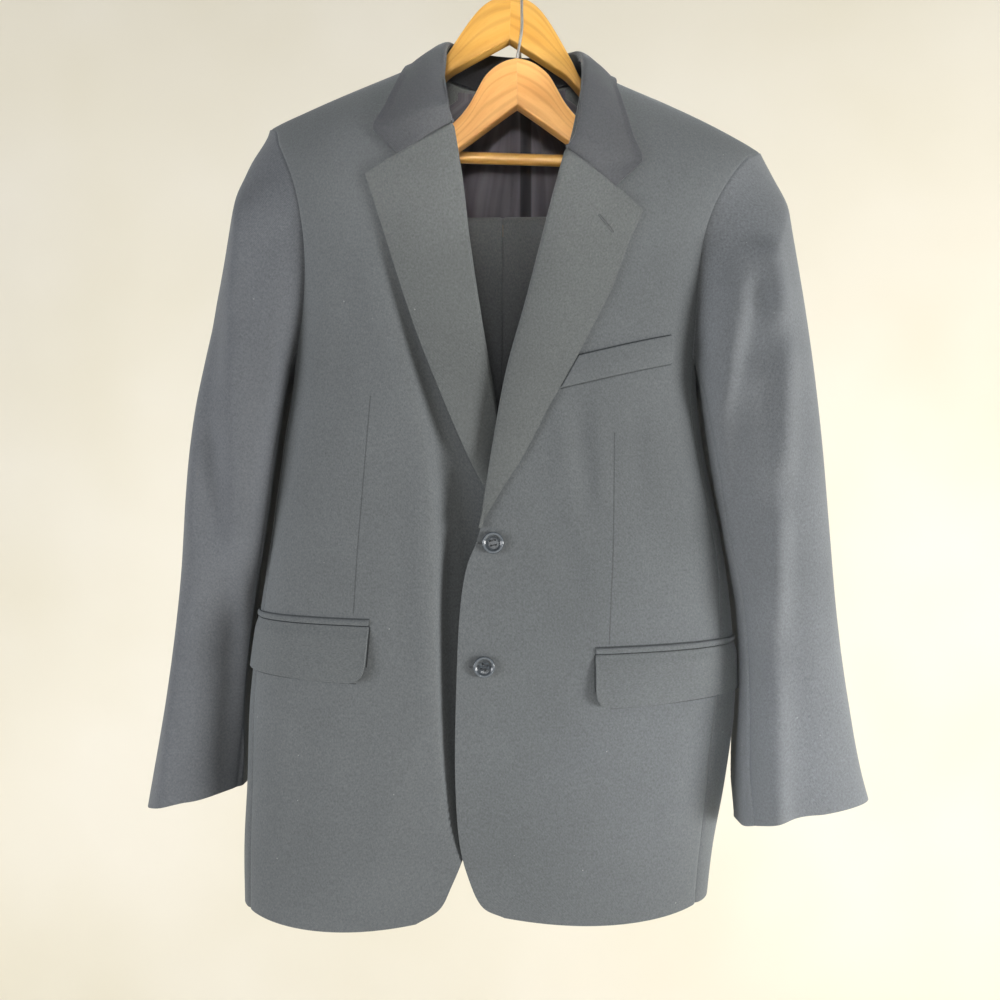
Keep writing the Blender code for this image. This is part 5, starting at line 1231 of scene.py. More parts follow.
def plated_steel(name):
    """Nickel-plated drawn wire, its plating gone satin, with fine drawing marks."""
    made, tree, shader = new_finish(name, 0.42, 1.0)
    place = add(tree, "TexCoord").outputs["Object"]
    drawn, worn = (noise(tree, place, scale, 2.0, 0.5) for scale in (700.0, 90.0))
    plate = blend(tree, spread(tree, worn, 0.35, 0.7), colour("#e6e6e4"), colour("#cfd0d0"))
    wire(tree, shader, Base_Color=plate, Roughness=spread(tree, drawn, 0.3, 0.7, 0.36, 0.52))
    return made


def sewing_thread(name, dark, light):
    """Twisted polyester thread, matt, its plies showing as fine turns."""
    made, tree, shader = new_finish(name, 0.75, Sheen_Weight=0.2)
    twist = wave(tree, add(tree, "TexCoord").outputs["Object"], 420.0, 1.0)
    cloth = blend(tree, twist, colour(dark), colour(light))
    wire(tree, shader, Base_Color=cloth, Normal=bump(tree, 0.5, 0.0002, twist))
    return made


# ---------------------------------------------------------------- the jacket's shell
# Lines on the fronts: (x, z) ends, half width and depth of each. The darts, the pockets' mouths and
# the welt's long edges are seams. The lines at the jets' feet, under the flaps and beside them are
# painted shadows of those raised edges, and the line at the welt's far end is its seam with a
# painted shadow.
FRONT_SEAMS_AND_SHADOWS = {
    RIGHT: (
        ((-0.1301, -0.4616), (-0.1414, -0.5981), 0.0010, 0.45),
        ((-0.1414, -0.5981), (-0.1449, -0.6538), 0.0010, 0.45),
        ((-0.1303, -0.6587), (-0.2450, -0.6564), 0.0009, 0.70),
        # Painted shadows: in the gap at the jet's foot, under the flap's foot and beside its front
        # edge.
        ((-0.1303, -0.6648), (-0.2450, -0.6625), 0.0014, 0.90),
        ((-0.1425, -0.7156), (-0.2450, -0.7112), 0.0010, 0.65),
        ((-0.1302, -0.6655), (-0.1335, -0.7010), 0.0012, 0.85),
    ),
    LEFT: (
        ((0.0850, -0.4946), (0.0837, -0.5978), 0.0010, 0.40),
        ((0.0837, -0.5978), (0.0801, -0.6804), 0.0010, 0.40),
        ((0.0676, -0.6832), (0.1900, -0.6798), 0.0009, 0.70),
        # Painted shadows: in the gap at the jet's foot, under the flap's foot and beside its front
        # edge.
        ((0.0676, -0.6893), (0.1900, -0.6859), 0.0014, 0.90),
        ((0.0810, -0.7371), (0.1900, -0.7307), 0.0010, 0.65),
        ((0.0677, -0.6900), (0.0685, -0.7220), 0.0013, 0.90),
        ((0.0500, -0.4274), (0.1385, -0.4052), 0.0010, 0.60),
        # The welt's far end: its seam, with a painted shadow.
        ((0.1394, -0.4060), (0.1387, -0.4310), 0.0012, 0.90),
        ((0.0375, -0.4560), (0.1385, -0.4316), 0.0010, 0.55),
    ),
}
# The rows and columns of the fine grids, close together where the cloth turns.
TOP_ROWS = np.unique(np.round(np.concatenate([np.linspace(0, 6, 61), [0.03, 0.06]]), 4))
LOW_ROWS = np.linspace(6, 17, 92)
FINE_ROWS = np.concatenate([TOP_ROWS, LOW_ROWS[1:]])
EDGE_COLUMNS = np.array((0, 0.004, 0.009, 0.016, 0.026))
FAR_EDGE_COLUMNS = (0.974, 0.984, 0.991, 0.996, 1)
GRID_COLUMNS = np.concatenate([EDGE_COLUMNS, np.linspace(0.04, 0.96, 52), FAR_EDGE_COLUMNS])
SIDE_FINE = 20
ARM_ROWS = merged([0, 0.003, 0.007], np.linspace(0.012, 0.2, 22), np.linspace(0.2, 1, 78))
# The sleeve's seams run down from the armhole's lowest row at the front, and from this section
# of the back.
SLEEVE_BACK_SEAM = 2.6
# The sleeve's seam allowance: how far its two rows go in under the body, and back.
ALLOWANCE = ((0.0052, 0.0020), (0.0022, 0.0002))
# What the jacket hangs from, and what the neck's pieces are sewn to.
SHOULDER_RESTS = ["upper_hanger_arm_right", "upper_hanger_arm_left"]
BACKS = ["suit_back_right", "suit_back_left"]


def cloth_piece(key, points, away, wall, finish, held, rests_on, edge=EDGE_ROUND, tube=False):
    """Makes a piece of cloth for the solid with its name."""
    piece = grid_piece(f"suit_{key}", points, away)
    if tube:
        close_tube(cap=False)
    thicken(piece, wall, edge)
    node = key if key.startswith("trouser") else f"jacket_{key}"
    dress(piece, finish, "lining" if key == "back_lining" else "suiting", node)


def sleeve_rings(side, front, panel, back):
    """The sleeve's rings from the armhole to the cuff, and the ring's seams by index."""
    last = len(TOP_ROWS) - 1
    up_the_back = back[: last + 1, 0][::-1][:-1]
    ring = np.concatenate([front[: last + 1, -1], panel[0, 1:-1], up_the_back])
    steps = np.interp(TOP_ROWS, SHOULDER_ROWS, np.arange(ARMHOLE_ROW + 1))
    under = ARMHOLE_ROW + np.linspace(0, 1, SIDE_FINE + 1)[1:-1] * SIDE_COLUMNS
    places = np.concatenate([steps, under, WHOLE_RING - steps[::-1][:-1]])
    even = 2 * np.pi * places / WHOLE_RING
    back_seam = last + SIDE_FINE + int(np.argmin(np.abs(TOP_ROWS[::-1] - SLEEVE_BACK_SEAM)))
    return sleeve_grid(side, ring, ARM_ROWS, even), last, back_seam


def armhole_turning(ring, first):
    """The sleeve's seam allowance, turned in under the body's edge."""
    out = unit(first - ring)
    towards = unit(BODY_AXIS + ring * (0, 0, 1) - ring)
    return np.stack([ring + towards * inwards - out * back for inwards, back in ALLOWANCE])


def build_shell(finishes):
    grids = {}
    for side, name in SIDE_NAMES.items():
        front = front_grid(side, FINE_ROWS, GRID_COLUMNS)
        back = back_grid(side, FINE_ROWS, GRID_COLUMNS)
        panel = side_grid(side, LOW_ROWS, SIDE_FINE)
        sleeve, front_seam, back_seam = sleeve_rings(side, front, panel, back)
        sleeve = np.concatenate([armhole_turning(sleeve[0], sleeve[1]), sleeve])
        sleeve = np.concatenate([sleeve, sleeve[:, :1]], 1)
        upper = np.concatenate([sleeve[:, back_seam:-1], sleeve[:, : front_seam + 1]], 1)
        under = sleeve[:, front_seam : back_seam + 1]
        arm_axis = sleeve[:, :-1].mean(1, keepdims=True)
        both = ("start", "end")
        for part, grid, away, seams, finish in (
            ("front", front, axis_of(front), ("top", "end"), f"front_{name}"),
            ("side", panel, axis_of(panel), ("top", *both), "body"),
            ("back", back, axis_of(back), ("top", *both), "body"),
            ("sleeve_upper", upper, arm_axis, both, f"sleeve_{name}"),
            ("sleeve_under", under, arm_axis, both, f"sleeve_{name}"),
        ):
            points = with_seams(grid, away, seams)
            cloth = JACKET_WALL, finishes[finish], "hung", SHOULDER_RESTS
            cloth_piece(f"{part}_{name}", points, away, *cloth)
        grids[side] = {"front": front, "upper": upper, "arm_axis": arm_axis}
    return grids


# ---------------------------------------------------------------- lapels and collar
ROLL_RADIUS = 0.0030
ROLL_TURNS = np.radians(np.linspace(180, 20, 9))
# The roll goes flat towards the lapel's foot, over this many sections.
ROLL_FADE = 0.8
LAPEL_FINE = np.concatenate([np.linspace(0, 0.97, 30), [0.985, 0.995, 1]])
LAPEL_FINE_ROWS = merged([0, 0.0035, 0.008], np.linspace(0.013, 1, 76))
TURNED_WALL, TURNED_EDGE = FACING_WALL * 0.8, 0.36
# Where the collar's end meets each lapel's top edge, as a share of it.
GORGE_SHARE = {RIGHT: 0.635, LEFT: 0.640}
GORGE_EASE = 0.02


def rolled_lapel(side):
    """A lapel's outer face, from inside the front, round the roll line, to its free edge."""
    section = LAPEL[side]["section"]
    rows = section[0] + (section[-1] - section[0]) * LAPEL_FINE_ROWS
    face = lapel_grid(side, FACING_WALL, LAPEL_FINE, rows)
    edge_x, edge_drop = (read(FRONT[side], c, rows)[:, None] for c in ("edge_x", "edge_drop"))
    middle = LAPEL_REST[side] + FACING_WALL - ROLL_RADIUS
    ahead = side * (ROLL_RADIUS * np.sin(ROLL_TURNS) - ROLL_RADIUS + ROLL_COVER)[None, :]
    fade = ease((section[-1] - rows) / ROLL_FADE)[:, None]
    out = middle + ROLL_RADIUS * np.cos(ROLL_TURNS)[None, :] * fade + ROLL_RADIUS * (1 - fade)
    roll = on_front(edge_x - ahead, edge_drop + 0 * ahead, side, out)
    return np.concatenate([roll, face[:, 1:]], 1)


def build_lapels(finishes):
    for side, name in SIDE_NAMES.items():
        points = rolled_lapel(side)
        away = points + (0, 0.05, 0)
        on_gorge = ease((GORGE_SHARE[side] - LAPEL_FINE[1:]) / GORGE_EASE + 1)
        sewn = np.concatenate([np.ones(len(ROLL_TURNS)), on_gorge])
        points += (with_seams(points, away, ("top",)) - points) * sewn[None, :, None]
        cloth = TURNED_WALL, finishes["lapel"], "folded", [f"suit_front_{name}"]
        cloth_piece(f"lapel_{name}", points, away, *cloth, TURNED_EDGE)


# The crease's roll is this round, and is tucked in over this length at the collar's ends.
COLLAR_ROLL, COLLAR_END_TUCK, COLLAR_END_FADE = 0.0020, 0.050, 0.030
# At its ends the roll goes straight in behind the crease instead.
COLLAR_END_BACK = np.array([0.0, 0.91, 0.41])
COLLAR_TURNS = np.radians(np.array((150, 110, 75, 45, 20)))[None, :, None]
COLLAR_FINE = np.concatenate([np.linspace(0, 0.96, 26), [0.98, 0.993, 1]])
# Shares of the way from the collar's sewn end to its first whole section.
COLLAR_END_ROWS = np.array([0, 0.02, 0.05, 0.1, 0.18, 0.28, 0.4, 0.52, 0.64, 0.76, 0.88])


def gorge(side, columns):
    """The lapel's top edge from the roll line to the notch, where the collar's end is sewn on."""
    first = LAPEL[side]["section"][:1]
    return lapel_grid(side, FACING_WALL, columns * GORGE_SHARE[side], first)[0]


def whole_collar(out, columns):
    """The collar with its points sharp, and its ends set on the lapels' gorge seams."""
    shares = COLLAR_END_ROWS[:, None, None]
    points = collar_grid(out, np.linspace(1, 20, 134), columns)
    tips = collar_grid(out, COLLAR["station"], columns)
    for side, tip, next_in in ((RIGHT, tips[0], tips[1]), (LEFT, tips[-1], tips[-2])):
        sewn = gorge(side, columns)
        strip = tip + (next_in - tip) * shares + (sewn - tip) * (1 - shares) ** 2
        points = np.concatenate([strip, points] if side == RIGHT else [points, strip[::-1]])
    return points


def build_collar(finishes):
    outer = whole_collar(FACING_WALL, COLLAR_FINE)
    crease = outer[:, 0]
    inward = unit((NECK_CENTRE - crease) * (1, 1, 0))
    out = unit(np.cross(np.gradient(crease, axis=0), outer[:, 3] - crease))
    out *= np.sign(out[:, 2:3] + 1e-9)
    run = run_along(crease)
    from_ends = np.minimum(run, run[-1] - run)
    open_ends = ease((from_ends - COLLAR_END_TUCK) / COLLAR_END_FADE)[:, None, None]
    turned = out[:, None] * open_ends - COLLAR_END_BACK * (1 - open_ends)
    reach = COLLAR_ROLL * np.sin(COLLAR_TURNS) * (open_ends * 1.15 - 0.15)
    roll = outer[:, :1] + inward[:, None] * reach
    roll = roll - turned * COLLAR_ROLL * (1 - np.cos(COLLAR_TURNS))
    points = np.concatenate([roll, outer], 1)
    away = points - out[:, None] * 0.02
    points = with_seams(points, away, ("top", "foot"))
    cloth = TURNED_WALL, finishes["collar"], "folded", BACKS
    cloth_piece("collar", points, away, *cloth, TURNED_EDGE)


def stand_grid(stations):
    """The stand's outer face, from the neck seam up to the collar's crease."""
    crease = collar_grid(0.0, stations, np.zeros(1))[:, 0]
    neck = {side: (FRONT[side]["edge_x"][0], FRONT[side]["edge_drop"][0]) for side in SIDE_NAMES}
    rows = []
    for station in np.arange(STAND_MIDDLE - STAND_REACH, STAND_MIDDLE + STAND_REACH + 1):
        side = RIGHT if station < STAND_MIDDLE else LEFT
        neck_x, neck_point_drop = neck[side]
        from_middle = int(abs(station - STAND_MIDDLE))
        if from_middle < STAND_REACH:
            x = neck_x * STAND_FEET[from_middle]
            drop = float(neck_drop(x, neck_x, neck_point_drop))
            rows.append((station, x, float(back_y(np.array(x), np.array(drop))), -drop))
        else:
            end = front_grid(side, np.array([STAND_END_SECTION]), np.array([0.0]))[0, 0]
            rows.append((station, *end))
    foot_line = table("station x y z", *rows)
    foot = np.stack([read(foot_line, c, stations) for c in "xyz"], -1)
    inward = unit((NECK_CENTRE - crease) * (1, 1, 0))
    foot = foot + unit(crease - foot) * STAND_GAP
    head = crease + inward * STAND_IN + (0, 0, -STAND_DOWN)
    heights = np.linspace(0, 1, 9)[None, :, None]
    return foot[:, None] + (head - foot)[:, None] * heights, inward


def build_stand(finishes):
    ends = STAND_MIDDLE - STAND_REACH, STAND_MIDDLE + STAND_REACH
    face, inward = stand_grid(np.linspace(*ends, 70))
    away = face + inward[:, None] * 0.02
    cloth_piece("collar_stand", face, away, STAND_WALL, finishes["stand"], "folded", BACKS)


# ---------------------------------------------------------------- pockets, lining
SEWN_EDGE = 0.4
# How far the welt and the jets are sunk, and how much they puff up between their seams.
WELT_SUNK, WELT_PUFF = 0.0009, 0.0008
JET_SUNK, JET_PUFF = 0.0013, 0.0009
FLAP_DROP = 0.0008
# The flap stands off towards its foot, less at its far end, and is drawn in at its seam.
FLAP_LIFT, FLAP_FAR_LESS, FLAP_SEAM = 0.0032, 0.85, 0.0018
FLAP_WAVE, FLAP_WAVES = 0.0006, 2.2


def build_welt(finishes):
    u, v = np.meshgrid(np.linspace(0, 1, 44), np.linspace(0, 1, 16))
    corners = {name: np.array(point) for name, point in WELT.items()}
    top, foot = (
        corners[f"{row}_left"] + (corners[f"{row}_right"] - corners[f"{row}_left"]) * u[..., None]
        for row in ("top", "bottom")
    )
    places = top + (foot - top) * v[..., None]
    puff = WELT_PUFF * np.sin(np.pi * np.clip(v, 0, 1))
    out = WELT_REST + FACING_WALL - WELT_SUNK + puff
    points = on_front(places[..., 0], places[..., 1], LEFT, out)
    cloth = FACING_WALL, finishes["body"], "laid", ["suit_front_left"]
    cloth_piece("breast_welt", points, points + (0, 0.05, 0), *cloth, SEWN_EDGE)


def pocket_grid(side, shares, heights, out):
    """Points on a pocket's strip, from its mouth down."""
    spec = POCKET[side]
    angles = pocket_places(side, shares)
    drop = spec["drop"] + spec["fall"] * shares[:, None] + heights
    angle = np.broadcast_to(angles[:, None], drop.shape)
    return around(side, angle, drop) + body_normal(side, angle, drop) * np.asarray(out)[..., None]


def build_pockets(finishes):
    build_welt(finishes)
    shares = merged(np.linspace(0, 0.12, 22), np.linspace(0.12, 1, 60))
    for side, name in SIDE_NAMES.items():
        v = np.linspace(0, 1, 7)[None, :]
        jet_out = REST_OUT + FACING_WALL - JET_SUNK + JET_PUFF * np.sin(np.pi * v)
        jet = pocket_grid(side, shares, v * JET_HEIGHT, jet_out + 0 * shares[:, None])
        cloth = FACING_WALL, finishes["body"], "laid", [f"suit_front_{name}"]
        cloth_piece(f"pocket_jet_{name}", jet, axis_of(jet), *cloth, SEWN_EDGE)
        corner = np.clip(FLAP_ROUND - shares * POCKET[side]["length"], 0, None)
        rounding = FLAP_ROUND - np.sqrt(np.clip(FLAP_ROUND**2 - corner**2, 0, None))
        deep = (flap_depth(side, shares) - rounding)[:, None]
        v = np.concatenate([np.linspace(0, 0.95, 20), [0.975, 1]])[None, :]
        near_end = 1 - FLAP_FAR_LESS * ease((shares[:, None] - 0.25) / 0.40)
        lift = REST_OUT + FACING_WALL + FLAP_LIFT * ease(v) * near_end
        lift = lift - FLAP_SEAM * ease(1 - v * 4)
        wave_out = FLAP_WAVE * np.sin(np.pi * FLAP_WAVES * shares)[:, None] * v
        heights = JET_HEIGHT + FLAP_DROP + deep * v
        flap = pocket_grid(side, shares, heights, lift + wave_out)
        cloth = FACING_WALL, finishes["flap"], "hung", [f"suit_pocket_jet_{name}"]
        cloth_piece(f"pocket_flap_{name}", flap, axis_of(flap), *cloth, SEWN_EDGE)


LINING_TOP, LINING_MIDDLE, LINING_HEM = 0.1385, 0.34, 0.905
# Folds of the lining, as on the body.
LINING_FOLDS = table(
    "x drop end_x end_drop depth width",
    (-0.052, 0.170, -0.050, 0.300, 0.0022, 0.006),
    (-0.034, 0.160, -0.036, 0.280, -0.0018, 0.007),
    (0.026, 0.165, 0.030, 0.300, 0.0022, 0.006),
    (0.040, 0.160, 0.042, 0.260, -0.0018, 0.006),
    (-0.090, 0.220, -0.100, 0.600, 0.0020, 0.014),
    (0.080, 0.220, 0.075, 0.600, 0.0020, 0.014),
)


def build_lining(finishes):
    upper = np.linspace(LINING_TOP, LINING_MIDDLE, 62)
    rows = np.concatenate([upper, np.linspace(LINING_MIDDLE, LINING_HEM, 60)[1:]])
    columns = merged(np.linspace(0, 1, 70), np.linspace(0.42, 0.66, 60))
    face = lining_grid(rows, columns)
    relief = fold_relief(LINING_FOLDS, face[..., 0], -face[..., 2])
    face = face + np.stack([0 * relief, relief, 0 * relief], -1)
    cloth = LINING_WALL, finishes["lining"], "hung", BACKS
    cloth_piece("back_lining", face, face - (0, 0.05, 0), *cloth)


# ---------------------------------------------------------------- buttons
# A four-hole button's outline as shares of its radius and thickness: a low foot, a rounded
# raised rim and a dished middle.
BUTTON_OUTLINE = (
    (0, 0), (0.60, 0), (0.76, 0.04), (0.90, 0.20), (0.98, 0.42), (1.0, 0.62), (0.98, 0.82),
    (0.92, 0.96), (0.86, 1.0), (0.80, 0.95), (0.75, 0.82), (0.70, 0.66), (0.60, 0.58),
    (0.35, 0.53), (0, 0.52),
)
THREAD, THREAD_LOW, THREAD_ARCH = 0.0011, 0.0010, 0.0008


def button_model(name, diameter, thickness, sides, hole_spread, hole_radius):
    """A button at the origin, turned round Z and with its four holes cut."""
    angles = np.linspace(0, 2 * np.pi, sides + 1)
    profile = [(diameter / 2 * a, thickness * b) for a, b in BUTTON_OUTLINE]
    points = np.array([[(r * math.cos(a), r * math.sin(a), z) for a in angles] for r, z in profile])
    model = grid_piece(name, points, np.array([0.0, 0.0, np.mean([z for _, z in profile])]))
    close_tube(cap=False, merge_within=1e-7, smooth=SMOOTH_BUTTON)
    for sx, sy in ((-1, -1), (1, -1), (1, 1), (-1, 1)):
        cut_hole(model, hole_radius, 0.02, 16, (sx * hole_spread, sy * hole_spread, 0))
    bpy.ops.object.shade_smooth_by_angle(angle=SMOOTH_BUTTON)
    return model


def seat(piece, place, outward, turn=0.0):
    """Puts a piece modelled at the origin on its place, its +Z outward."""
    facing = Vector(outward).to_track_quat("Z", "Y").to_matrix().to_4x4()
    turned = facing @ Matrix.Rotation(turn, 4, "Z")
    piece.data.transform(Matrix.Translation(Vector(place)) @ turned)


def copy_of(piece, name):
    activate(piece)
    bpy.ops.object.duplicate()
    made = bpy.context.object
    made.name = made.data.name = name
    return made


def tube_grid(path, radius, sides=12, closed=False):
    """Rings round a path, turned with it."""
    path = np.array(path, float)
    round_off = np.roll(path, -1, 0) - np.roll(path, 1, 0)
    along = unit(round_off if closed else np.gradient(path, axis=0))
    first = unit(np.cross(along, np.array([0.0, 1.0, 0.02])))
    second = np.cross(first, along)
    turn = np.linspace(0, 2 * np.pi, sides + 1)[None, :, None]
    ring = first[:, None] * np.cos(turn) + second[:, None] * np.sin(turn)
    return path[:, None] + radius * ring


def thread_stitches(name, place, outward, finish, turn):
    """Two bars of thread through a button's holes."""
    spots = np.linspace(-1, 1, 9)
    for letter, across in (("a", -1), ("b", 1)):
        heights = [THREAD_LOW + THREAD_ARCH * (1 - s**4) for s in spots]
        path = [(HOLE_SPREAD * s * 1.05, across * HOLE_SPREAD, z) for s, z in zip(spots, heights)]
        rings = tube_grid(path, THREAD / 2, 10)
        piece = grid_piece(f"{name}_{letter}", rings, np.array(path)[:, None])
        close_tube()
        seat(piece, place, outward, turn)
        dress(piece, finish, "button")


def build_front_buttons(finishes):
    sizes = FRONT_BUTTON_DIAMETER, BUTTON_THICKNESS, 48
    model = button_model("front_button_model", *sizes, HOLE_SPREAD, HOLE_RADIUS)
    for index, (x, drop) in enumerate(FRONT_BUTTONS, 1):
        spot = np.array(x), np.array(drop)
        place = on_front(*spot, LEFT, np.array(BUTTON_OUT))
        outward = front_normal(*spot, LEFT)
        turn = math.radians(BUTTON_TURNS[index - 1])
        button = copy_of(model, f"suit_button_{index}")
        seat(button, place, outward, turn)
        dress(button, finishes["button"], "button", f"jacket_button_{index}")
        thread_stitches(f"button_thread_{index}", place, outward, finishes["thread"], turn)
    bpy.data.objects.remove(model, do_unlink=True)


def build_cuff_buttons(finishes, grids):
    """The cuff buttons, each in the place of its solid and turned out as the sleeve is there."""
    sizes = CUFF_BUTTON_DIAMETER, CUFF_BUTTON_THICKNESS, 40
    model = button_model("cuff_button_model", *sizes, CUFF_HOLE_SPREAD, CUFF_HOLE_RADIUS)
    for side, name in SIDE_NAMES.items():
        upper, axis = grids[side]["upper"], grids[side]["arm_axis"]
        outwards = normals(upper, axis)
        for index in range(1, CUFF_BUTTON_COUNT + 1):
            key = f"cuff_button_{name}_{index}"
            low, high = (np.array(corner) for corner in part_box(key))
            place = (low + high) / 2
            gap = np.linalg.norm(upper - place, axis=-1)
            nearest = np.unravel_index(np.argmin(gap), gap.shape)
            outward = outwards[nearest]
            rise_out = float(np.dot(place - upper[nearest], outward))
            button = copy_of(model, f"suit_{key}")
            foot = place - outward * (rise_out - CUFF_BUTTON_OUT)
            seat(button, foot, outward, CUFF_BUTTON_TURN * index)
            dress(button, finishes["cuff_button"], "button", key)
    bpy.data.objects.remove(model, do_unlink=True)


# ---------------------------------------------------------------- hangers
ARM_ROUND = 0.0020
MITRE_GAP = 0.00004
SOCKET_GAP = 0.0003
PUNCH_LENGTH = 0.1


def arm_points(name, side, stations):
    """Rings round an arm, from the mitre to its end, in the hanger's own frame."""
    shape = HANGERS[name]["shape"]
    turns = np.linspace(0, 1, 6)
    half = HANGER_THICKNESS / 2
    rings = []
    for out in stations:
        top, under = float(read(shape, "top", out)), float(read(shape, "under", out))
        ring = []
        for corner, (sy, sz) in enumerate(((1, 1), (1, -1), (-1, -1), (-1, 1))):
            edge = -top if sz > 0 else -under
            for t in turns:
                angle = math.radians(90 - 90 * corner - 90 * t)
                y = sy * (half - ARM_ROUND) + ARM_ROUND * math.cos(angle)
                z = edge - sz * ARM_ROUND + ARM_ROUND * math.sin(angle)
                ring.append((side * out, y, z))
        rings.append(ring + ring[:1])
    return np.array(rings)


def build_hanger(name, finishes):
    frame = hanger_frame(name)
    spec = HANGERS[name]
    reach = spec["shape"]["out"]
    finish = finishes[f"wood_{name}"]
    stations = merged([MITRE_GAP, 0.0009], np.linspace(0.002, reach[-1], 90))
    socket = spec["bar_end"] + BAR_SOCKET
    lying = Matrix.Rotation(math.pi / 2, 4, "Y")
    for side, side_name in SIDE_NAMES.items():
        points = arm_points(name, side, stations)
        piece = grid_piece(f"{name}_hanger_wood_{side_name}", points, points.mean(1, keepdims=True))
        close_tube()
        piece.data.transform(frame)
        middle = (side * (socket - PUNCH_LENGTH / 2), 0, -spec["bar_drop"])
        turned = frame @ (Matrix.Translation(middle) @ lying)
        cut_hole(piece, BAR_DIAMETER / 2 + SOCKET_GAP, PUNCH_LENGTH, 32, turned=turned)
        bpy.ops.object.shade_smooth_by_angle(angle=SMOOTH_TUBE)
        dress(piece, finish, f"wood_{name}", f"{name}_hanger_arm_{side_name}")
    half = socket - SOCKET_GAP
    path = [(x, 0, -spec["bar_drop"]) for x in np.linspace(-half, half, 40)]
    rings = tube_grid(path, BAR_DIAMETER / 2, 32)
    piece = grid_piece(f"{name}_hanger_rod", rings, np.array(path)[:, None])
    close_tube()
    piece.data.transform(frame)
    dress(piece, finish, f"wood_{name}", f"{name}_hanger_bar")


def wire_piece(name, points, diameter, finish, node):
    """A bent wire through a few points."""
    line = table("t x y z", *[(i, *p) for i, p in enumerate(points)])
    t = np.linspace(0, len(points) - 1, 8 * len(points))
    path = np.stack([read(line, c, t) for c in "xyz"], -1)
    piece = grid_piece(name, tube_grid(path, diameter / 2, 16), path[:, None])
    close_tube()
    dress(piece, finish, "steel", node)


def build_hooks(finishes):
    """The upper hook round a rod at the origin, and the lower one over the upper hanger's wood."""
    x, y, drop = HANGERS["upper"]["top"]
    radius, centre = UPPER_HOOK_RADIUS + HOOK_WIRE / 2, -UPPER_HOOK_RADIUS
    neck = [(x, y, -drop + 0.0006), (x * 0.6, y, -drop + 0.008), (0.0, y, centre - radius - 0.0008)]
    turns = np.radians(np.linspace(-62, 190, 16))
    bend = [
        (radius * math.cos(a), y * max(0.0, 1 - i / 5), centre + radius * math.sin(a))
        for i, a in enumerate(turns)
    ]
    wire_piece("upper_hook_wire", neck + bend, HOOK_WIRE, finishes["steel"], "upper_hanger_hook")
    _, y, drop = HANGERS["lower"]["top"]
    lower = LOWER_HOOK_RADIUS + LOWER_WIRE / 2
    shank = [(x, y, z - drop) for x, z in ((0.0, 0.0006), (0.0020, 0.012), (LOWER_HOOK_X, 0.030))]
    turns = np.radians(np.linspace(180, -25, 14))
    top = -LOWER_HOOK_DROP - LOWER_HOOK_RADIUS
    over = [
        (LOWER_HOOK_X, y + lower + lower * math.cos(a), top + lower * math.sin(a)) for a in turns
    ]
    wire_piece("lower_hook_wire", shank + over, LOWER_WIRE, finishes["steel"], "lower_hanger_hook")


# ---------------------------------------------------------------- trousers
LEG_FINE = merged(
    np.linspace(-0.53, -0.02, 60), np.linspace(-0.02, 0.02, 25), np.linspace(0.02, 0.49, 60)
)
# Gaps from the bar to the first leg, from leg to leg, and from the legs to the waistband.
BAR_GAP, LEG_GAP, WAIST_GAP = 0.0005, 0.0004, 0.0003
LEG_ACROSS = np.concatenate([[0, 0.010, 0.022, 0.04], np.linspace(0.07, 1, 22)])


def leg_place(radius, reach):
    """(y, z, outward y, outward z) at a reach along a leg, round the bar."""
    centre, bend = bar_centre(), radius * math.pi / 2
    turn = math.pi / 2 * np.clip(1 - reach / bend, 0, 2)
    hang = max(0.0, abs(reach) - bend)
    out_y, out_z = math.cos(turn), math.sin(turn)
    return centre.y + radius * out_y, centre.z + radius * out_z - hang, out_y, out_z


def leg_half(radius, half):
    """One half of a pressed leg: its outer layer from the seam to the crease, and back inside."""
    fold = LEG_THICKNESS / 2
    crease_turns = np.linspace(0, math.pi, 9)[1:-1]
    rows, middles = [], []
    for reach in LEG_FINE:
        y, z, out_y, out_z = leg_place(radius, reach)
        width, middle = (float(read(TROUSERS, c, reach)) for c in ("width", "middle"))
        ends = width / 2 - fold
        places = [(a * ends, LEG_THICKNESS) for a in LEG_ACROSS]
        places += [(ends + fold * math.sin(t), fold + fold * math.cos(t)) for t in crease_turns]
        places += [(a * ends, 0.0) for a in LEG_ACROSS[::-1]]
        row = []
        for along, height in places:
            x = middle + half * along
            row.append((x, y + out_y * height, z + out_z * height + bar_slope(x)))
        rows.append(row)
        x = middle + half * ends / 2
        middles.append([(x, y + out_y * fold, z + out_z * fold + bar_slope(x))])
    return np.array(rows), np.array(middles)


def waistband_grid(first):
    """The waistband, pressed flat round the legs' upper ends."""
    radius = first + LEG_THICKNESS + LEG_GAP / 2
    centre = bar_centre()
    half_width = float(TROUSERS["width"][-1]) / 2
    middle = float(TROUSERS["middle"][-1])
    top = centre.z - (TROUSERS["reach"][-1] - first * math.pi / 2) - WAIST_GAP
    angles = np.linspace(0, 2 * math.pi, 97)
    across = np.sign(np.cos(angles)) * np.abs(np.cos(angles)) ** WAISTBAND_FLATNESS
    x = middle + across * half_width
    y = centre.y + radius + np.sin(angles) * LEG_THICKNESS
    falls = np.linspace(0, WAISTBAND_HEIGHT, 12)
    points = np.array([np.stack([x, y, top - fall + bar_slope(x)], -1) for fall in falls])
    points[:, -1] = points[:, 0]
    return points, points[:, :-1].mean(1, keepdims=True)


def build_trousers(finishes):
    first = BAR_DIAMETER / 2 + BAR_GAP
    second = first + LEG_THICKNESS + LEG_GAP
    cloth = TROUSER_WALL, finishes["trousers"], "folded", ["lower_hanger_rod"]
    for name, radius in (("right", first), ("left", second)):
        for panel, half in (("front", 1), ("back", -1)):
            points, middle = leg_half(radius, half)
            points = with_seams(points, middle, ("start", "end"))
            cloth_piece(f"trouser_leg_{name}_{panel}", points, middle, *cloth)
    cloth_piece("trouser_waistband", *waistband_grid(first), *cloth, tube=True)


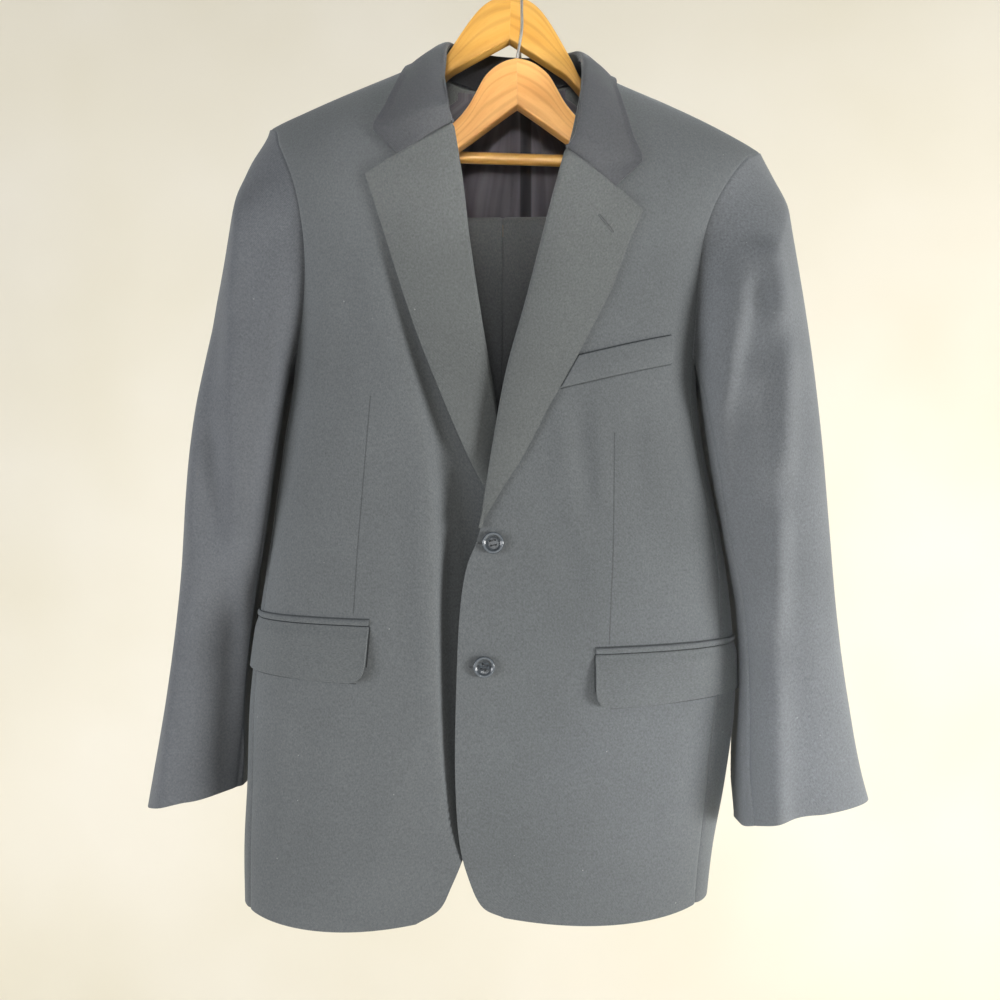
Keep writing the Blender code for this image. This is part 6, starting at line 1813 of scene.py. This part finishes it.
# ---------------------------------------------------------------- sewn details
ROUND_END = np.linspace(0.4, 2.7, 5)


def on_grid(grid, x, drop, out):
    """Points a little out from a grid's outer face, at places seen from the front."""
    outwards = normals(grid, grid + (0, 0.05, 0))
    flat = grid.reshape(-1, 3)
    facing = outwards.reshape(-1, 3)
    made = []
    for px, pd in zip(x, drop):
        gap = np.hypot(flat[:, 0] - px, -flat[:, 2] - pd)
        near = np.argsort(gap)[:4]
        weight = 1 / (gap[near] + 1e-5)
        weight /= weight.sum()
        y = float((flat[near, 1] * weight).sum())
        normal = unit((facing[near] * weight[:, None]).sum(0))
        made.append(np.array([px, y, -pd]) + normal * out)
    return np.array(made)


def buttonhole(name, grid, start, end, finish, width=0.0011, cord=0.00042):
    """A purled slit: a loop of close stitches round a narrow opening."""
    start, end = np.array(start), np.array(end)
    run = unit(end - start)
    beside = np.array([-run[1], run[0]])
    spots = []
    for near, far, way in ((start, end, 1), (end, start, -1)):
        along, across = run * way * width / 2, beside * way * width / 2
        spots += [near + (far - near) * t + across for t in np.linspace(0, 1, 14)]
        spots += [far + along * math.sin(a) + across * math.cos(a) for a in ROUND_END]
    spots = np.array(spots)
    path = on_grid(grid, spots[:, 0], spots[:, 1], cord * 0.4)
    rings = tube_grid(path, cord, 8, closed=True)
    rings, path = (np.concatenate([line, line[:1]]) for line in (rings, path))
    piece = grid_piece(name, rings, path[:, None])
    close_tube(cap=False)
    dress(piece, finish, "suiting")


def build_details(finishes, grids):
    twist = finishes["twist"]
    ends = (0.0714, 0.3048), (0.0832, 0.3186)
    buttonhole("lapel_buttonhole", rolled_lapel(LEFT), *ends, twist, 0.0017, 0.00034)
    for index, (x, drop) in enumerate(FRONT_BUTTONS, 1):
        ends = (x - 0.0125, drop + 0.0005), (x + 0.009, drop - 0.0005)
        buttonhole(f"front_buttonhole_{index}", grids[LEFT]["front"], *ends, twist)


# ---------------------------------------------------------------- stage, light and camera
CAMERA_PLACE = (-0.0157, -0.835, -0.5538)
FOCAL_LENGTH = 30.68
WALL_BEHIND, FLOOR_BELOW = 0.9, -1.9


def build_stage():
    wall_paint, tree, shader = new_finish("cream wall", 0.9)
    cloudy = noise(tree, add(tree, "TexCoord").outputs["Object"], 2.2, 2.0, 0.5)
    share = spread(tree, cloudy, 0.3, 0.7)
    wire(tree, shader, Base_Color=blend(tree, share, colour("#e7e1cf"), colour("#eee9dc")))
    behind = add(tree, "NewGeometry").outputs["Backfacing"]
    clear = add(tree, "BsdfTransparent").outputs[0]
    mixed = add(tree, "MixShader", {0: behind, 1: shader.outputs[0], 2: clear}).outputs[0]
    wire(tree, tree.nodes["Material Output"], Surface=mixed)
    floor_paint, _, _ = new_finish("pale floor", 0.85, Base_Color=colour("#e6e2d8"))
    for name, paint, location, turn in (
        ("backdrop_wall", wall_paint, (0, WALL_BEHIND, 0), math.pi / 2),
        ("pale_floor", floor_paint, (0, 0, FLOOR_BELOW), 0),
    ):
        deselect()
        bpy.ops.mesh.primitive_plane_add(size=8, location=location, rotation=(turn, 0, 0))
        plane = bpy.context.object
        plane.name = name
        bpy.ops.object.transform_apply(location=True, rotation=True, scale=True)
        plane.data.materials.append(paint)


def soft_light(name, place, aim, size, power, tint, spread_angle=180):
    lamp = bpy.data.lights.new(name, "AREA")
    lamp.shape = "DISK"
    lamp.size = size
    lamp.energy = power
    lamp.spread = math.radians(spread_angle)
    lamp.color = colour(tint)[:3]
    held = bpy.data.objects.new(name, lamp)
    bpy.context.scene.collection.objects.link(held)
    held.location = place
    held.rotation_euler = (Vector(aim) - Vector(place)).to_track_quat("-Z", "Y").to_euler()


def build_lights():
    soft_light("right_window", (2.42, -1.24, -0.85), (0, 0, -0.6), 1.0, 81, "#fdfcfa")
    soft_light("left_window", (-2.4, -1.2, -0.6), (0, 0, -0.6), 1.3, 44, "#fbfcff")
    soft_light("front_window", (-0.2, -2.7, -0.45), (0, 0, -0.45), 1.2, 9, "#fdfdfd")
    soft_light("skirt_light", (0.16, -2.0, -0.84), (0.18, 0, -0.78), 0.2, 0.075, "#fdfdfd", 13)
    soft_light("neck_light", (-0.02, -1.7, -0.5), (-0.01, 0, -0.17), 0.2, 0.10, "#fffaf0", 12)
    world = bpy.data.worlds.new("studio")
    bpy.context.scene.world = world
    world.use_nodes = True
    ground = world.node_tree.nodes["Background"]
    ground.inputs["Color"].default_value = colour("#eeece6")
    ground.inputs["Strength"].default_value = 0.22


def build_camera():
    lens = bpy.data.cameras.new("camera")
    lens.lens = FOCAL_LENGTH
    lens.sensor_width = 36
    held = bpy.data.objects.new("camera", lens)
    bpy.context.scene.collection.objects.link(held)
    held.location = CAMERA_PLACE
    held.rotation_euler = (math.pi / 2, 0, 0)
    bpy.context.scene.camera = held


# The suit's cloth on each kind of piece, with the colours of its dark and light yarns. It is one
# cloth, and some pieces' colours carry painted light or shade, as noted at each.
CLOTHS = {
    # The right front is a little lighter than the body: painted light.
    "front_right": ("right front", "#54585a", "#777b7e"),
    "front_left": ("left front", "#515557", "#74787b"),
    "body": ("body", "#505456", "#73777a"),
    # The right sleeve is darker than the left one (painted shade), and the left one is lighter
    # (painted light).
    "sleeve_right": ("right sleeve, painted shade", "#52565a", "#777a80"),
    "sleeve_left": ("left sleeve, painted light", "#5e6265", "#868a8f"),
    "lapel": ("lapels", "#515455", "#737777"),
    # The collar is darker than the body: painted shade.
    "collar": ("collar", "#434549", "#5f6165"),
    # The stand is near black: painted shadow under the collar's fall.
    "stand": ("collar stand, painted shadow", "#202125", "#33353a"),
    "flap": ("flaps", "#515557", "#75797b"),
    # The trousers are a little lighter than the body: painted light.
    "trousers": ("trousers", "#54575a", "#777a7c"),
}


def main():
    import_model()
    build_camera()
    seam_and_shadow_lines = {"front_right": FRONT_SEAMS_AND_SHADOWS[RIGHT], "front_left": FRONT_SEAMS_AND_SHADOWS[LEFT]}
    finishes = {
        key: worsted(f"charcoal worsted twill, {where}", dark, light, seam_and_shadow_lines.get(key, ()))
        for key, (where, dark, light) in CLOTHS.items()
    }
    finishes |= {
        "lining": satin("aubergine satin lining", "#403f47", "#6b6973"),
        "button": polyester_button("marbled polyester, front buttons", FRONT_BUTTON_DIAMETER),
        "cuff_button": polyester_button("marbled polyester, cuff buttons", CUFF_BUTTON_DIAMETER),
        "thread": sewing_thread("button thread", "#15181b", "#3a3e42"),
        "twist": sewing_thread("buttonhole twist", "#34373a", "#6b6f72"),
        "wood_upper": lacquered_wood("lacquered maple", "#e8b862", "#dba44b", "#bc8034"),
        "wood_lower": lacquered_wood("lacquered beech", "#f3bf78", "#e5a862", "#c58543"),
        "steel": plated_steel("plated steel wire"),
    }
    grids = build_shell(finishes)
    for build in (build_lapels, build_collar, build_stand, build_pockets, build_lining):
        build(finishes)
    build_front_buttons(finishes)
    build_cuff_buttons(finishes, grids)
    for name in HANGERS:
        build_hanger(name, finishes)
    build_hooks(finishes)
    build_trousers(finishes)
    build_details(finishes, grids)
    build_stage()
    build_lights()
    bpy.context.scene.view_settings.view_transform = "Standard"
    deselect()


main()
